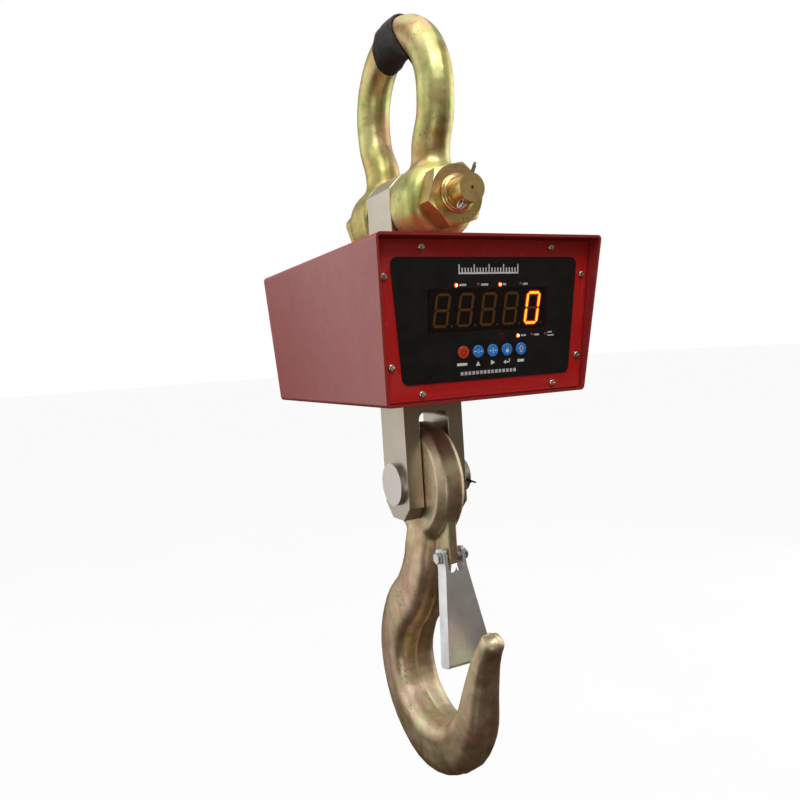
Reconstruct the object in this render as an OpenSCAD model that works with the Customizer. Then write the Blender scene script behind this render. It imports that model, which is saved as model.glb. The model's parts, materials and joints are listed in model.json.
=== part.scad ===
// Crane scale: bow shackle, load cell in a sheet-metal housing, and a latched eye hook.
// The origin is the bearing point inside the crown of the shackle bow.
// +Z is up, -Y is the display side, +X is to the right as seen from the display.

/* [Shackle] */
// Crown bearing point to the bolt axis
seat_to_bolt = 197; // [194:1:204]
// Diameter of the bow bar
bow_bar_d = 46; // [42:1:48]
// Half spacing of the bow centre lines at its widest
bow_half_w = 88; // [86:1:92]
// Half width of the jaw between the two ears
jaw_half = 36.5; // [36:0.5:38]
// Thickness of one ear
ear_t = 60; // [56:1:62]
// Outside diameter of an ear
ear_d = 95; // [93:1:98]
// Diameter of the shackle bolt
bolt_d = 50; // [46:1:52]
// Width across flats of the bolt head and nut
nut_af = 68; // [66:1:72]
// Thickness of the nut
nut_t = 28; // [26:1:30]

/* [Load cell] */
// Width of the load cell block, left to right
cell_w = 86; // [84:1:90]
// Depth of the load cell block, front to back
cell_d = 68; // [64:1:70]
// Bolt axis to hook pin axis
cell_pitch = 351; // [345:1:360]
// Bolt axis to the top face of the block
cell_above = 43; // [40:1:46]
// Hook pin axis to the bottom face of the block
cell_below = 47; // [44:1:50]
// Chamfer at the block ends
cell_chamfer = 18; // [14:1:20]
// Width of the fork slot
slot_w = 42; // [41:0.5:44]
// Height of the slot roof over the hook pin axis
slot_above = 93; // [88:1:96]

/* [Housing] */
// Bolt axis to the top face of the housing
housing_drop = 59; // [57:1:64]
// Width at the top face
housing_top_w = 290; // [286:1:296]
// Width at the bottom face
housing_bottom_w = 263; // [260:1:268]
// Height of the housing
housing_h = 179; // [176:1:182]
// Front rim at the top, ahead of the load cell axis
rim_top_y = 201; // [198:1:205]
// Front rim at the bottom, ahead of the load cell axis
rim_bottom_y = 172.5; // [170:0.5:176]
// Rear rim, behind the load cell axis
rear_y = 187.5; // [185:0.5:190]
// Thickness of the folded sheet
sheet = 3; // [2.5:0.5:3]
// Outside radius of the folds
fold_r = 5; // [4:0.5:8]

/* [Front panel] */
// Panel face at the top, ahead of the load cell axis
panel_top_y = 183; // [182:0.5:184]
// Panel face at the bottom, ahead of the load cell axis
panel_bottom_y = 167.5; // [167:0.5:168]
// Height of one display digit
digit_h = 37; // [35:1:38]
// Spacing of the digits
digit_pitch = 29.8; // [29.5:0.1:30]
// Diameter of a key cap
key_d = 14; // [13:0.5:15]
// Spacing of the keys
key_pitch = 19.2; // [19:0.1:20]

/* [Hook] */
// Outside radius of the hook eye
eye_r = 78; // [74:1:79]
// Thickness of the hook eye
eye_t = 40; // [38:0.5:40]
// Diameter of the hook pin
hook_pin_d = 45; // [42:1:48]
// Half width of the latch at its pivot end
latch_top_half = 15.6; // [15:0.1:16]
// Half width of the latch at its free end
latch_end_half = 33; // [30:0.5:34]

/* [Hidden] */
$fn = 64;
eps = 0.01;

bolt_z = -seat_to_bolt;
hook_z = bolt_z - cell_pitch;
top_z = bolt_z - housing_drop;
bottom_z = top_z - housing_h;
cell_top = bolt_z + cell_above;
cell_bottom = hook_z - cell_below;
ear_y = jaw_half + ear_t / 2;
ear_face = jaw_half + ear_t;
bar_r = bow_bar_d / 2;
running_fit = 0.05;

rim_tilt = atan((rim_top_y - rim_bottom_y) / housing_h);
panel_tilt = atan((panel_top_y - panel_bottom_y) / housing_h);
plate_t = 2;
overlay_t = 1;
screw_d = 4;
screw_head_d = 8;
key_travel = 0.5;
board_y = 12.6;
board_t = 1.6;
cell_gap = 2;

function unit(v) = v / norm(v);
// Points of a circular fillet of radius r at corner b between the edges towards a and c.
function corner_arc(a, b, c, r, n) =
  let (u = unit(a - b), w = unit(c - b), half = acos(u * w) / 2,
       o = b + unit(u + w) * r / sin(half),
       s = b + u * r / tan(half) - o, e = b + w * r / tan(half) - o,
       a0 = atan2(s[1], s[0]), sweep = ((atan2(e[1], e[0]) - a0 + 540) % 360) - 180)
  [for (i = [0:n]) o + r * [cos(a0 + sweep * i / n), sin(a0 + sweep * i / n)]];
// A polygon with all its corners rounded to radius r.
function rounded(p, r, n = 5) = let (m = len(p))
  [for (i = [0:m - 1]) each corner_arc(p[(i + m - 1) % m], p[i], p[(i + 1) % m], r, n)];
// Half width of the housing, measured to its outer face, at a depth below the top face.
function house_half(depth) =
  housing_top_w / 2 - depth * (housing_top_w - housing_bottom_w) / 2 / housing_h;
// A trapezoid that follows the housing sides, inset all round.
function house_outline(inset, from = 0, to = housing_h) = [
  [-house_half(from) + inset, -from - inset], [house_half(from) - inset, -from - inset],
  [house_half(to) - inset, -to + inset], [-house_half(to) + inset, -to + inset]];
// Catmull-Rom interpolation through a list of stations.
function blend(a, b, c, d, t) = 0.5 * (2 * b + (c - a) * t + (2 * a - 5 * b + 4 * c - d) * t * t
  + (3 * b - a - 3 * c + d) * t * t * t);
function smooth(p, n) = let (last = len(p) - 1) concat(
  [for (i = [0:last - 1], k = [0:n - 1])
    blend(p[max(i - 1, 0)], p[i], p[i + 1], p[min(i + 2, last)], k / n)], [p[last]]);

// A closed skin over equal rings of points.
module skin(rings) {
  n = len(rings[0]);
  m = len(rings);
  polyhedron(
    points = [for (r = rings) each r],
    faces = concat(
      [[for (i = [0:n - 1]) i]],
      [[for (i = [n - 1:-1:0]) (m - 1) * n + i]],
      [for (j = [0:m - 2], i = [0:n - 1]) [j * n + i, (j + 1) * n + i, (j + 1) * n + (i + 1) % n]],
      [for (j = [0:m - 2], i = [0:n - 1]) [j * n + i, (j + 1) * n + (i + 1) % n, j * n + (i + 1) % n]]),
    convexity = 6);
}

// A cylinder along Y from y0 to y1.
module y_rod(d, y0, y1) {
  translate([0, y1, 0]) rotate([90, 0, 0]) cylinder(d = d, h = y1 - y0);
}
// A cylinder along X from x0 to x1.
module x_rod(d, x0, x1) {
  translate([x0, 0, 0]) rotate([0, 90, 0]) cylinder(d = d, h = x1 - x0);
}
// Children in the plane of the front panel: Y is the depth behind its face, Z runs up it.
module on_panel() {
  translate([0, -panel_top_y, top_z]) rotate([panel_tilt, 0, 0]) children();
}
// A flat plate from an outline in X and Z, between the depths y0 and y1.
module plate(points, y0, y1) {
  translate([0, y1, 0]) rotate([90, 0, 0]) linear_extrude(y1 - y0) polygon(points);
}

// ---- Shackle ----
sleeve_t = 3;
bow_turn_z = sleeve_t + bar_r - bow_half_w;
bow_leg = [[ear_y, bolt_z + 12], [ear_y, bolt_z + 50], [ear_y + 3, bolt_z + 74],
  [bow_half_w - 4, bolt_z + 102], [bow_half_w, bow_turn_z]];
bow_arc = [for (a = [7.5:7.5:172.5]) [bow_half_w * cos(a), bow_turn_z + bow_half_w * sin(a)]];
bow_half = [for (p = smooth(bow_leg, 3)) p];
bow_line = concat(bow_half, bow_arc, [for (i = [len(bow_half) - 1:-1:0]) [-bow_half[i][0], bow_half[i][1]]]);
// Ring of a round tube round point i of a line in the YZ plane.
function tube_ring(line, i, r, sides) =
  let (t = unit(line[min(i + 1, len(line) - 1)] - line[max(i - 1, 0)]), n = [-t[1], t[0]])
  [for (k = [0:sides - 1]) let (a = 360 * k / sides)
    [r * sin(a), line[i][0] + n[0] * r * cos(a), line[i][1] + n[1] * r * cos(a)]];
module ear(side) {
  inner_edge = 4;
  outer_edge = 16;
  profile = concat([[bolt_d / 2 - 4, -ear_t / 2], [bolt_d / 2 - 4, ear_t / 2]],
    [for (a = [90:-18:0]) ear_d / 2 * [1, 0] + [0, ear_t / 2] + outer_edge * [cos(a) - 1, sin(a) - 1]],
    [for (a = [0:-30:-90]) ear_d / 2 * [1, 0] - [0, ear_t / 2] + inner_edge * [cos(a) - 1, sin(a) + 1]]);
  translate([0, side * ear_y, bolt_z]) rotate([-90 * side, 0, 0]) rotate_extrude() polygon(profile);
}
module shackle_bow() color([0.69, 0.65, 0.3]) difference() {
  union() {
    skin([for (i = [0:len(bow_line) - 1]) tube_ring(bow_line, i, bar_r, 20)]);
    for (side = [-1, 1]) ear(side);
  }
  translate([0, 0, bolt_z]) y_rod(bolt_d + 2 * running_fit, -ear_face - 1, ear_face + 1);
}
// The wrap's ends, in Y at its top. Both ends lean outwards below, by these angles.
sleeve_front = -19;
sleeve_rear = 14;
sleeve_front_lean = 24;
sleeve_rear_lean = 17;
sleeve_depth = 120;
module bow_sleeve() color([0.16, 0.16, 0.14]) intersection() {
  translate([0, 0, bow_turn_z]) rotate([90, 0, 90]) rotate([0, 0, 20]) rotate_extrude(angle = 140)
    translate([bow_half_w, 0]) difference() {
      circle(r = bar_r + sleeve_t);
      circle(r = bar_r + 0.2);
    }
  translate([0, 0, 2 * (bar_r + sleeve_t)]) rotate([0, 0, 90]) plate([[sleeve_front, 0], [sleeve_rear, 0],
    [sleeve_rear + sleeve_depth * tan(sleeve_rear_lean), -sleeve_depth],
    [sleeve_front - sleeve_depth * tan(sleeve_front_lean), -sleeve_depth]], -bow_half_w, bow_half_w);
}
module shackle_bolt() color([0.66, 0.6, 0.28]) translate([0, 0, bolt_z]) difference() {
  union() {
    y_rod(bolt_d, -ear_face - 2, ear_face + eps);
    y_rod(bolt_d - 4, -ear_face - 2 - nut_t - 3, -ear_face);
    y_rod(33, -ear_face - nut_t - 32, -ear_face - nut_t);
    intersection() {
      translate([0, ear_face + nut_t - 2, 0]) rotate([90, 12, 0])
        cylinder(d = nut_af / cos(30), h = nut_t - 2, $fn = 6);
      y_rod(nut_af + 7, ear_face, ear_face + nut_t);
    }
  }
  y_rod(4, -ear_face - nut_t - 40, -ear_face - nut_t - 26);
  translate([0, cotter_y, 0]) rotate([0, cotter_turn, 0]) cylinder(d = 7, h = 60, center = true);
}
module shackle_nut() color([0.7, 0.66, 0.32]) translate([0, 0, bolt_z]) difference() {
  intersection() {
    translate([0, -ear_face - 0.2, 0]) rotate([90, -13.5, 0])
      cylinder(d = nut_af / cos(30), h = nut_t, $fn = 6);
    translate([0, -ear_face - 0.2, 0]) rotate([90, 0, 0]) rotate_extrude()
      polygon([[0, 0], [nut_af / 2 + 1, 0], [nut_af / 2 + 6, 4], [nut_af / 2 + 6, nut_t - 4],
        [nut_af / 2, nut_t], [0, nut_t]]);
  }
  y_rod(bolt_d - 4 + 0.2, -ear_face - nut_t - 1, -ear_face + 1);
  y_rod(bolt_d + 0.2, -ear_face - 2.1, -ear_face + 1);
}
cotter_y = -ear_face - nut_t - 20;
cotter_turn = 24;
module shackle_cotter() color([0.72, 0.72, 0.7])
  translate([0, cotter_y, bolt_z]) rotate([0, cotter_turn, 0]) {
    translate([0, 0, -21]) cylinder(d = 6, h = 50);
    translate([0, 0, -23]) difference() {
      y_rod(13, -3, 3);
      y_rod(6, -4, 4);
    }
  }

// ---- Load cell ----
module load_cell() color([0.67, 0.64, 0.58]) difference() {
  intersection() {
    plate([[-cell_w / 2, cell_bottom], [cell_w / 2, cell_bottom],
        [cell_w / 2, cell_top - cell_chamfer], [cell_w / 2 - cell_chamfer, cell_top],
        [cell_chamfer - cell_w / 2, cell_top], [-cell_w / 2, cell_top - cell_chamfer]],
      -cell_d / 2, cell_d / 2);
    rotate([0, 0, 90]) plate([[-cell_d / 2, cell_top], [cell_d / 2, cell_top],
        [cell_d / 2, cell_bottom + cell_chamfer], [cell_d / 2 - cell_chamfer, cell_bottom],
        [cell_chamfer - cell_d / 2, cell_bottom], [-cell_d / 2, cell_bottom + cell_chamfer]],
      -cell_w / 2, cell_w / 2);
  }
  slot = rounded([[-slot_w / 2, cell_bottom - 20], [slot_w / 2, cell_bottom - 20],
    [slot_w / 2, hook_z + slot_above], [-slot_w / 2, hook_z + slot_above]], 9);
  plate(slot, -cell_d / 2 - 1, cell_d / 2 + 1);
  translate([0, 0, bolt_z]) y_rod(bolt_d + 2 * running_fit, -cell_d, cell_d);
  translate([0, 0, hook_z]) x_rod(hook_pin_d, -cell_w, cell_w);
  translate([0, 0, gauge_z]) {
    x_rod(gauge_d, -cell_w, -cell_w / 2 + gauge_depth);
    x_rod(gauge_d, cell_w / 2 - gauge_depth, cell_w);
  }
}
gauge_z = top_z - 82;
gauge_d = 44;
gauge_depth = 16;
module gauge_covers() color([0.75, 0.75, 0.73]) translate([0, 0, gauge_z]) {
  x_rod(gauge_d - 0.1, -cell_w / 2 + 2, -cell_w / 2 + 5);
  x_rod(gauge_d - 0.1, cell_w / 2 - 5, cell_w / 2 - 2);
}
module cell_lead() color([0.12, 0.12, 0.12]) {
  translate([0, 0, gauge_z]) x_rod(10, cell_w / 2 - 2, cell_w / 2 + 8);
  translate([cell_w / 2 + 8, 0, gauge_z]) y_rod(6, -6, main_y - 9);
  translate([cell_w / 2 + 3, main_y - 10, gauge_z - 5]) cube([10, 10, 10]);
}
// A sheet collar screwed to the load cell: a flange flat on the housing and two upright tabs.
module bracket(z, dir) {
  tab_h = 34;
  flange_w = 26;
  difference() {
    union() {
      translate([-cell_w / 2 - flange_w, -cell_d / 2, min(z, z + dir * 4)])
        cube([cell_w + 2 * flange_w, cell_d, 4]);
      for (side = [-1, 1])
        translate([side * (cell_w / 2 + 2) - 2, -cell_d / 2, min(z, z + dir * tab_h)])
          cube([4, cell_d, tab_h]);
    }
    translate([-cell_w / 2, -cell_d, z - 60]) cube([cell_w, 2 * cell_d, 120]);
    for (y = bracket_bolt_y) translate([0, y, z + dir * 20]) x_rod(8.4, -cell_w, cell_w);
  }
}
bracket_bolt_y = [-20, 20];
module upper_bracket() color([0.7, 0.7, 0.7]) bracket(top_z - sheet, -1);
module lower_bracket() color([0.7, 0.7, 0.7]) bracket(bottom_z + sheet, 1);
module bracket_bolts() color([0.75, 0.75, 0.75])
  for (z = [top_z - sheet - 20, bottom_z + sheet + 20], y = bracket_bolt_y, side = [-1, 1])
    translate([0, y, z]) {
      x_rod(13, min(side * (cell_w / 2 + 4), side * (cell_w / 2 + 9)),
        max(side * (cell_w / 2 + 4), side * (cell_w / 2 + 9)));
      x_rod(8, side * (cell_w / 2 + 2) - 2, side * (cell_w / 2 + 2) + 2);
    }
// A rubber frame that fills the gap between the load cell and the housing.
module seal(z, lip_z) {
  difference() {
    union() {
      translate([-cell_w / 2 - cell_gap, -cell_d / 2 - cell_gap, z])
        cube([cell_w + 2 * cell_gap, cell_d + 2 * cell_gap, sheet]);
      translate([-cell_w / 2 - 5, -cell_d / 2 - 5, lip_z]) cube([cell_w + 10, cell_d + 10, 2]);
    }
    translate([-cell_w / 2, -cell_d / 2, z - 10]) cube([cell_w, cell_d, 20]);
  }
}
module upper_seal() color([0.1, 0.1, 0.1]) seal(top_z - sheet, top_z);
module lower_seal() color([0.1, 0.1, 0.1]) seal(bottom_z, bottom_z - 2);

// ---- Housing ----
module cell_opening() {
  translate([-cell_w / 2 - cell_gap, -cell_d / 2 - cell_gap, bottom_z - 10])
    cube([cell_w + 2 * cell_gap, cell_d + 2 * cell_gap, housing_h + 20]);
}
module housing_shell() color([0.62, 0.08, 0.08]) difference() {
  union() {
    difference() {
      translate([0, 0, top_z]) plate(rounded(house_outline(0), fold_r), -rim_top_y - 5, rear_y);
      translate([0, 0, top_z])
        plate(rounded(house_outline(sheet), fold_r - sheet), -rim_top_y - 6, rear_y + 1);
    }
    on_panel() flange_ring(plate_t, 2 * plate_t);
    translate([0, 0, top_z]) flange_ring(rear_face - 2 * plate_t, rear_face - plate_t);
  }
  translate([0, -rim_top_y, top_z]) rotate([rim_tilt, 0, 0])
    translate([-housing_top_w, -100, -2 * housing_h]) cube([2 * housing_top_w, 100, 3 * housing_h]);
  cell_opening();
  on_panel() for (p = front_screw_spots) translate([p[0], 0, p[1]]) y_rod(screw_d + 0.2, 0, 10);
  for (p = rear_screw_spots) translate([p[0], 0, top_z + p[1]]) y_rod(screw_d + 0.2, rear_face - 10, rear_y);
}
rear_face = rear_y - 4;
flange_w = 15;
// The frame welded inside the housing that a panel screws to.
module flange_ring(y0, y1) {
  difference() {
    plate(house_outline(sheet / 2), y0, y1);
    plate(rounded(house_outline(sheet + flange_w), 6), y0 - 1, y1 + 1);
  }
}
// Screw places as [x, height below the top face], on both sides.
screw_rows = [[85, 12], [129.5, 42.5], [123, 137], [87, 168]];
front_screw_spots = [for (p = screw_rows, side = [-1, 1]) [side * p[0], -p[1]]];
rear_screw_spots = front_screw_spots;
module pan_screw(len) {
  rotate([90, 0, 0]) difference() {
    union() {
      translate([0, 0, -len]) cylinder(d = screw_d, h = len + eps);
      rotate_extrude() polygon(concat([[0, 0], [screw_head_d / 2, 0]], [for (a = [0:30:90])
        [screw_head_d / 2 - 1.6 + 1.6 * cos(a), 1 + 1.6 * sin(a)]], [[0, 2.6]]));
    }
    for (a = [0, 90]) rotate([0, 0, a]) translate([-2.4, -0.5, 1.2]) cube([4.8, 1, 3]);
  }
}

// ---- Front panel ----
panel_corner = 3;
window_half = 79;
window_top = -56;
window_bottom = -103;
overlay_top = -22.5;
overlay_bottom = -157;
led_x = [-42.6, -14.2, 14.2, 42.6];
led_z = -52.7;
status_x = [38.2, 57.6, 76.9];
status_z = -110.5;
remote_x = 15.7;
key_z = -125.5;
key_x0 = 3.4 - 2 * key_pitch;
led_d = 4.6;
led_spots = concat([for (x = led_x) [x, led_z]], [for (x = status_x) [x, status_z]]);
window_outline = [[-window_half, window_top], [window_half, window_top],
  [window_half, window_bottom], [-window_half, window_bottom]];
module key_holes(d) {
  for (k = [0:4]) translate([key_x0 + k * key_pitch, 0, key_z]) y_rod(d, -5, 10);
}
module led_holes() {
  for (p = led_spots) translate([p[0], 0, p[1]]) y_rod(led_d + 0.4, -5, 10);
  translate([remote_x, 0, status_z]) y_rod(9, -5, 10);
}
module front_panel() color([0.55, 0.06, 0.06]) on_panel() difference() {
  plate(rounded(house_outline(sheet + 1.2), panel_corner), 0, plate_t);
  plate(rounded(window_outline, 3), -1, plate_t + 1);
  for (p = front_screw_spots) translate([p[0], 0, p[1]]) y_rod(screw_d + 0.4, -1, 5);
  key_holes(8);
  led_holes();
}
module front_screws() color([0.75, 0.72, 0.66]) on_panel()
  for (p = front_screw_spots) translate([p[0], 0, p[1]]) pan_screw(8);
module panel_overlay() color([0.06, 0.06, 0.06]) on_panel() difference() {
  plate(rounded([[-122, overlay_top], [122, overlay_top], [110, overlay_bottom], [-110, overlay_bottom]], 8),
    -overlay_t, 0);
  plate(rounded(window_outline, 3), -overlay_t - 1, 1);
  key_holes(key_d + 0.8);
  led_holes();
}
module display_window() color([0.16, 0.06, 0.03]) on_panel()
  plate(rounded([for (p = window_outline) [sign(p[0]) * (window_half - 0.1),
      p[1] > -80 ? p[1] - 0.1 : p[1] + 0.1]], 3),
    -overlay_t, 0.4);
// A seven-segment block: a shallow tray with raised slanted bars and a point.
seg_slant = 9;
module digit(n) {
  x = (n - 3) * digit_pitch;
  z = (window_top + window_bottom) / 2;
  on_panel() translate([x, 0, z]) {
    translate([-14.6, 1.6, -22.5]) cube([29.2, board_y - 1.6, 45]);
    translate([0, 1.6 + eps, 0]) rotate([90, 0, 0])
      multmatrix([[1, tan(seg_slant), 0, 0], [0, 1, 0, 0], [0, 0, 1, 0], [0, 0, 0, 1]])
      linear_extrude(0.8) segments();
    translate([12.4, 0, -17]) y_rod(3.4, 0.8, 1.7);
  }
}
seg_t = 3.2;
seg_half_w = 8;
module segments() {
  half = digit_h / 2 - seg_t / 2;
  for (z = [-half, 0, half]) translate([0, z]) seg_bar(2 * seg_half_w - 1.4, 0);
  for (x = [-seg_half_w, seg_half_w], z = [-half / 2, half / 2]) translate([x, z]) seg_bar(half - 1.4, 90);
}
module seg_bar(len, turn) {
  rotate(turn) polygon([[-len / 2, 0], [-len / 2 + seg_t / 2, seg_t / 2], [len / 2 - seg_t / 2, seg_t / 2],
    [len / 2, 0], [len / 2 - seg_t / 2, -seg_t / 2], [-len / 2 + seg_t / 2, -seg_t / 2]]);
}
module digit_1() color([0.27, 0.14, 0.02]) digit(1);
module digit_2() color([0.27, 0.14, 0.02]) digit(2);
module digit_3() color([0.27, 0.14, 0.02]) digit(3);
module digit_4() color([0.27, 0.14, 0.02]) digit(4);
module digit_5() color([1, 0.4, 0.1]) digit(5);
module led(p) {
  translate([p[0], 0, p[1]]) {
    y_rod(led_d, -overlay_t, board_y);
    translate([0, -overlay_t, 0]) intersection() {
      sphere(d = led_d);
      y_rod(led_d, -1.2, 0.5);
    }
  }
}
module lit_leds() color([1, 0.35, 0.1]) on_panel() for (i = [0, 2, 4]) led(led_spots[i]);
module dim_leds() color([0.35, 0.08, 0.03]) on_panel() for (i = [1, 3, 5, 6]) led(led_spots[i]);
module remote_window() color([0.3, 0.02, 0.02]) on_panel() translate([remote_x, 0, status_z]) {
  y_rod(8.8, -overlay_t, 0.8);
  y_rod(7, 0.8 - eps, board_y);
}
spacer_spots = [[-96, -48], [96, -48], [-92, -140], [92, -140]];
module display_board() color([0.1, 0.35, 0.15]) on_panel() difference() {
  plate([[-104, -42], [104, -42], [100, -146], [-100, -146]], board_y, board_y + board_t);
  for (p = spacer_spots) translate([p[0], 0, p[1]]) y_rod(3.2, board_y - 1, board_y + 5);
}
module board_spacers() color([0.8, 0.7, 0.4]) on_panel() for (p = spacer_spots) translate([p[0], 0, p[1]]) {
  y_rod(6, plate_t, board_y);
  y_rod(3, board_y - eps, board_y + board_t + 2.5);
}
module key_switches() color([0.2, 0.2, 0.2]) on_panel()
  for (k = [0:4]) translate([key_x0 + k * key_pitch, 0, key_z]) {
    translate([-3, board_y - 3.5, -3]) cube([6, 3.5, 6]);
    y_rod(3.4, board_y - 4.2, board_y - 3.4);
  }
key_base = -key_travel - 0.2;
module key(k) {
  r = key_d / 2;
  on_panel() translate([key_x0 + k * key_pitch, key_base, key_z]) rotate([90, 0, 0]) {
    rotate_extrude() polygon(concat([[0, 0], [r, 0]], [for (a = [0:18:90])
      [r - 1.2 + 1.2 * cos(a), 0.4 + 0.9 * sin(a)]], [[0, 1.6]]));
    translate([0, 0, key_base - board_y + 4.2 + 2 * key_travel + 0.3])
      cylinder(d = 6, h = board_y - 4.2 - key_base - 2 * key_travel - 0.3 + eps);
  }
}
module key_power() color([0.78, 0.23, 0.16]) key(0);
module key_zero() color([0.17, 0.5, 0.88]) key(1);
module key_tare() color([0.17, 0.5, 0.88]) key(2);
module key_lock() color([0.17, 0.5, 0.88]) key(3);
module key_up() color([0.17, 0.5, 0.88]) key(4);

// ---- Rear ----
cover_half = 84;
cover_top = top_z - 62;
cover_bottom = top_z - 164;
open_half = 79;
open_top = cover_top - 5;
open_bottom = cover_bottom + 5;
socket_at = [-95, top_z - 34];
module rear_panel() color([0.55, 0.06, 0.06]) difference() {
  translate([0, 0, top_z])
    plate(rounded(house_outline(sheet + 1.2), panel_corner), rear_face - plate_t, rear_face);
  for (p = rear_screw_spots) translate([p[0], 0, top_z + p[1]]) y_rod(screw_d + 0.4, rear_face - 5, rear_y);
  translate([-open_half, rear_face - 5, open_bottom]) cube([2 * open_half, 10, open_top - open_bottom]);
  translate([socket_at[0], 0, socket_at[1]]) y_rod(12.2, rear_face - 5, rear_y);
}
module rear_screws() color([0.75, 0.72, 0.66])
  for (p = rear_screw_spots) translate([p[0], rear_face, top_z + p[1]]) rotate([0, 0, 180]) pan_screw(8);
module cover_gasket() color([0.1, 0.1, 0.1]) difference() {
  translate([-cover_half + 1, rear_face, cover_bottom + 1])
    cube([2 * cover_half - 2, 1.5, cover_top - cover_bottom - 2]);
  translate([-open_half, rear_face - 1, open_bottom]) cube([2 * open_half, 5, open_top - open_bottom]);
}
thumb_z = (cover_top + cover_bottom) / 2;
thumb_x = open_half - 9;
module battery_cover() color([0.55, 0.06, 0.06]) difference() {
  plate(rounded([[-cover_half, cover_top], [cover_half, cover_top],
    [cover_half, cover_bottom], [-cover_half, cover_bottom]], 8), rear_face + 1.5, rear_face + 3.5);
  for (side = [-1, 1]) translate([side * thumb_x, 0, thumb_z]) y_rod(6.4, rear_face, rear_y + 2);
}
module cover_thumbscrews() color([0.7, 0.68, 0.62]) for (side = [-1, 1])
  translate([side * thumb_x, rear_face + 3.5, thumb_z]) {
    y_rod(16, 0, 7);
    y_rod(6, -40, eps);
  }
battery_w = 151;
battery_d = 50;
battery_hgt = 94;
battery_y = rear_face - 14 - battery_d;
tray_z = bottom_z + sheet;
module battery() color([0.2, 0.2, 0.22]) {
  translate([-battery_w / 2 + 12, battery_y, tray_z + 2]) cube([battery_w - 24, battery_d, battery_hgt]);
  for (x = [-40, 40]) translate([x - 3, battery_y + 20, tray_z + 2 + battery_hgt - eps]) cube([6, 1, 7]);
}
module battery_tray() color([0.65, 0.65, 0.65]) {
  difference() {
    translate([-battery_w / 2 + 9, battery_y - 3, tray_z]) cube([battery_w - 18, battery_d + 6, 26]);
    translate([-battery_w / 2 + 12, battery_y, tray_z + 2]) cube([battery_w - 24, battery_d, 40]);
  }
  for (side = [-1, 1]) difference() {
    translate([side * thumb_x - 5, rear_face - 38, tray_z]) cube([10, 12, thumb_z - tray_z + 8]);
    translate([side * thumb_x, 0, thumb_z]) y_rod(6.2, rear_face - 50, rear_face);
  }
}
module battery_strap() color([0.15, 0.15, 0.15]) {
  difference() {
    translate([-12, battery_y - 2, tray_z + 26]) cube([24, battery_d + 4, battery_hgt - 22]);
    translate([-20, battery_y, tray_z + 20]) cube([40, battery_d, battery_hgt - 18]);
  }
}
main_y = cell_d / 2 + 24;
module main_board() color([0.1, 0.35, 0.15]) difference() {
  translate([-80, main_y, top_z - 110]) cube([160, board_t, 80]);
  for (x = [-70, 70], z = [-40, -100]) translate([x, 0, top_z + z]) y_rod(3.2, main_y - 1, main_y + 5);
}
module main_spacers() color([0.8, 0.7, 0.4]) for (x = [-70, 70]) {
  translate([x - 6, main_y + board_t, top_z - 106]) cube([12, 3, 106 - sheet]);
  for (z = [-40, -100]) translate([x, 0, top_z + z]) y_rod(3, main_y - 1.5, main_y + board_t + eps);
}
module charger_socket() color([0.1, 0.1, 0.1]) translate([socket_at[0], 0, socket_at[1]]) difference() {
  union() {
    y_rod(16, rear_face, rear_face + 3);
    y_rod(12, rear_face - 16, rear_face + eps);
  }
  y_rod(5.6, rear_face - 11, rear_face + 4);
}

// ---- Hook ----
// Centre line of the hook from the eye to the tip, relative to the hook pin axis, as
// [y, z, half depth, half width of the inner side, half width of the outer side].
hook_stations = [
  [0, -56, 31, 19, 19],
  [3, -86, 32, 25, 25],
  [10, -118, 33, 27, 26],
  [34, -160, 36, 31, 27],
  [72, -198, 38, 35, 27],
  [95, -256, 39, 36, 27],
  [76, -320, 39, 36, 27],
  [18, -356, 39, 35, 27],
  [-49, -346, 33, 32, 26],
  [-95, -300, 24, 27, 23],
  [-113, -247, 17, 22, 19],
  [-128, -203, 13, 17, 16],
  [-146, -173, 12, 14, 14]];
hook_sides = 28;
section_power = 0.55;
function bulge(v) = sign(v) * pow(abs(v), section_power);
hook_line = smooth(hook_stations, 4);
function hook_ring(i) =
  let (s = hook_line[i], a = hook_line[max(i - 1, 0)], b = hook_line[min(i + 1, len(hook_line) - 1)],
       t = unit([b[0] - a[0], b[1] - a[1]]), n = [-t[1], t[0]])
  [for (k = [0:hook_sides - 1]) let (
       c = bulge(cos(360 * k / hook_sides)), d = bulge(sin(360 * k / hook_sides)),
       w = s[4] + (s[3] - s[4]) * (1 - c) / 2)
    [w * d, s[0] + n[0] * s[2] * c, hook_z + s[1] + n[1] * s[2] * c]];
latch_at = [-56, hook_z - 92];
// The rounded end of the hook, relative to the hook pin axis.
tip_at = [-143.5, -180];
tip_d = 28;
module hook_body() color([0.55, 0.5, 0.36]) difference() {
  union() {
    skin([for (i = [0:len(hook_line) - 1]) hook_ring(i)]);
    translate([0, 0, hook_z]) rotate([0, 90, 0]) rotate_extrude() polygon([[8, -eye_t / 2],
      [eye_r - 10, -eye_t / 2], [eye_r, -eye_t / 2 + 9], [eye_r, eye_t / 2 - 9], [eye_r - 10, eye_t / 2],
      [8, eye_t / 2]]);
    latch_lug();
    translate([0, tip_at[0], hook_z + tip_at[1]]) sphere(d = tip_d);
  }
  translate([0, 0, hook_z]) x_rod(hook_pin_d + 2 * running_fit, -40, 40);
  translate([0, latch_at[0], latch_at[1]]) x_rod(8, -40, 40);
}
lug_half = 6.5;
lug_front = -64.5;
// A thin web below the eye, which carries the latch.
module latch_lug() {
  lug = rounded([[lug_front, hook_z - 40], [-10, hook_z - 40],
    [-10, latch_at[1] - 18], [lug_front, latch_at[1] - 9]], 7);
  rotate([0, 0, 90]) plate(lug, -lug_half, lug_half);
}
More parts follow.
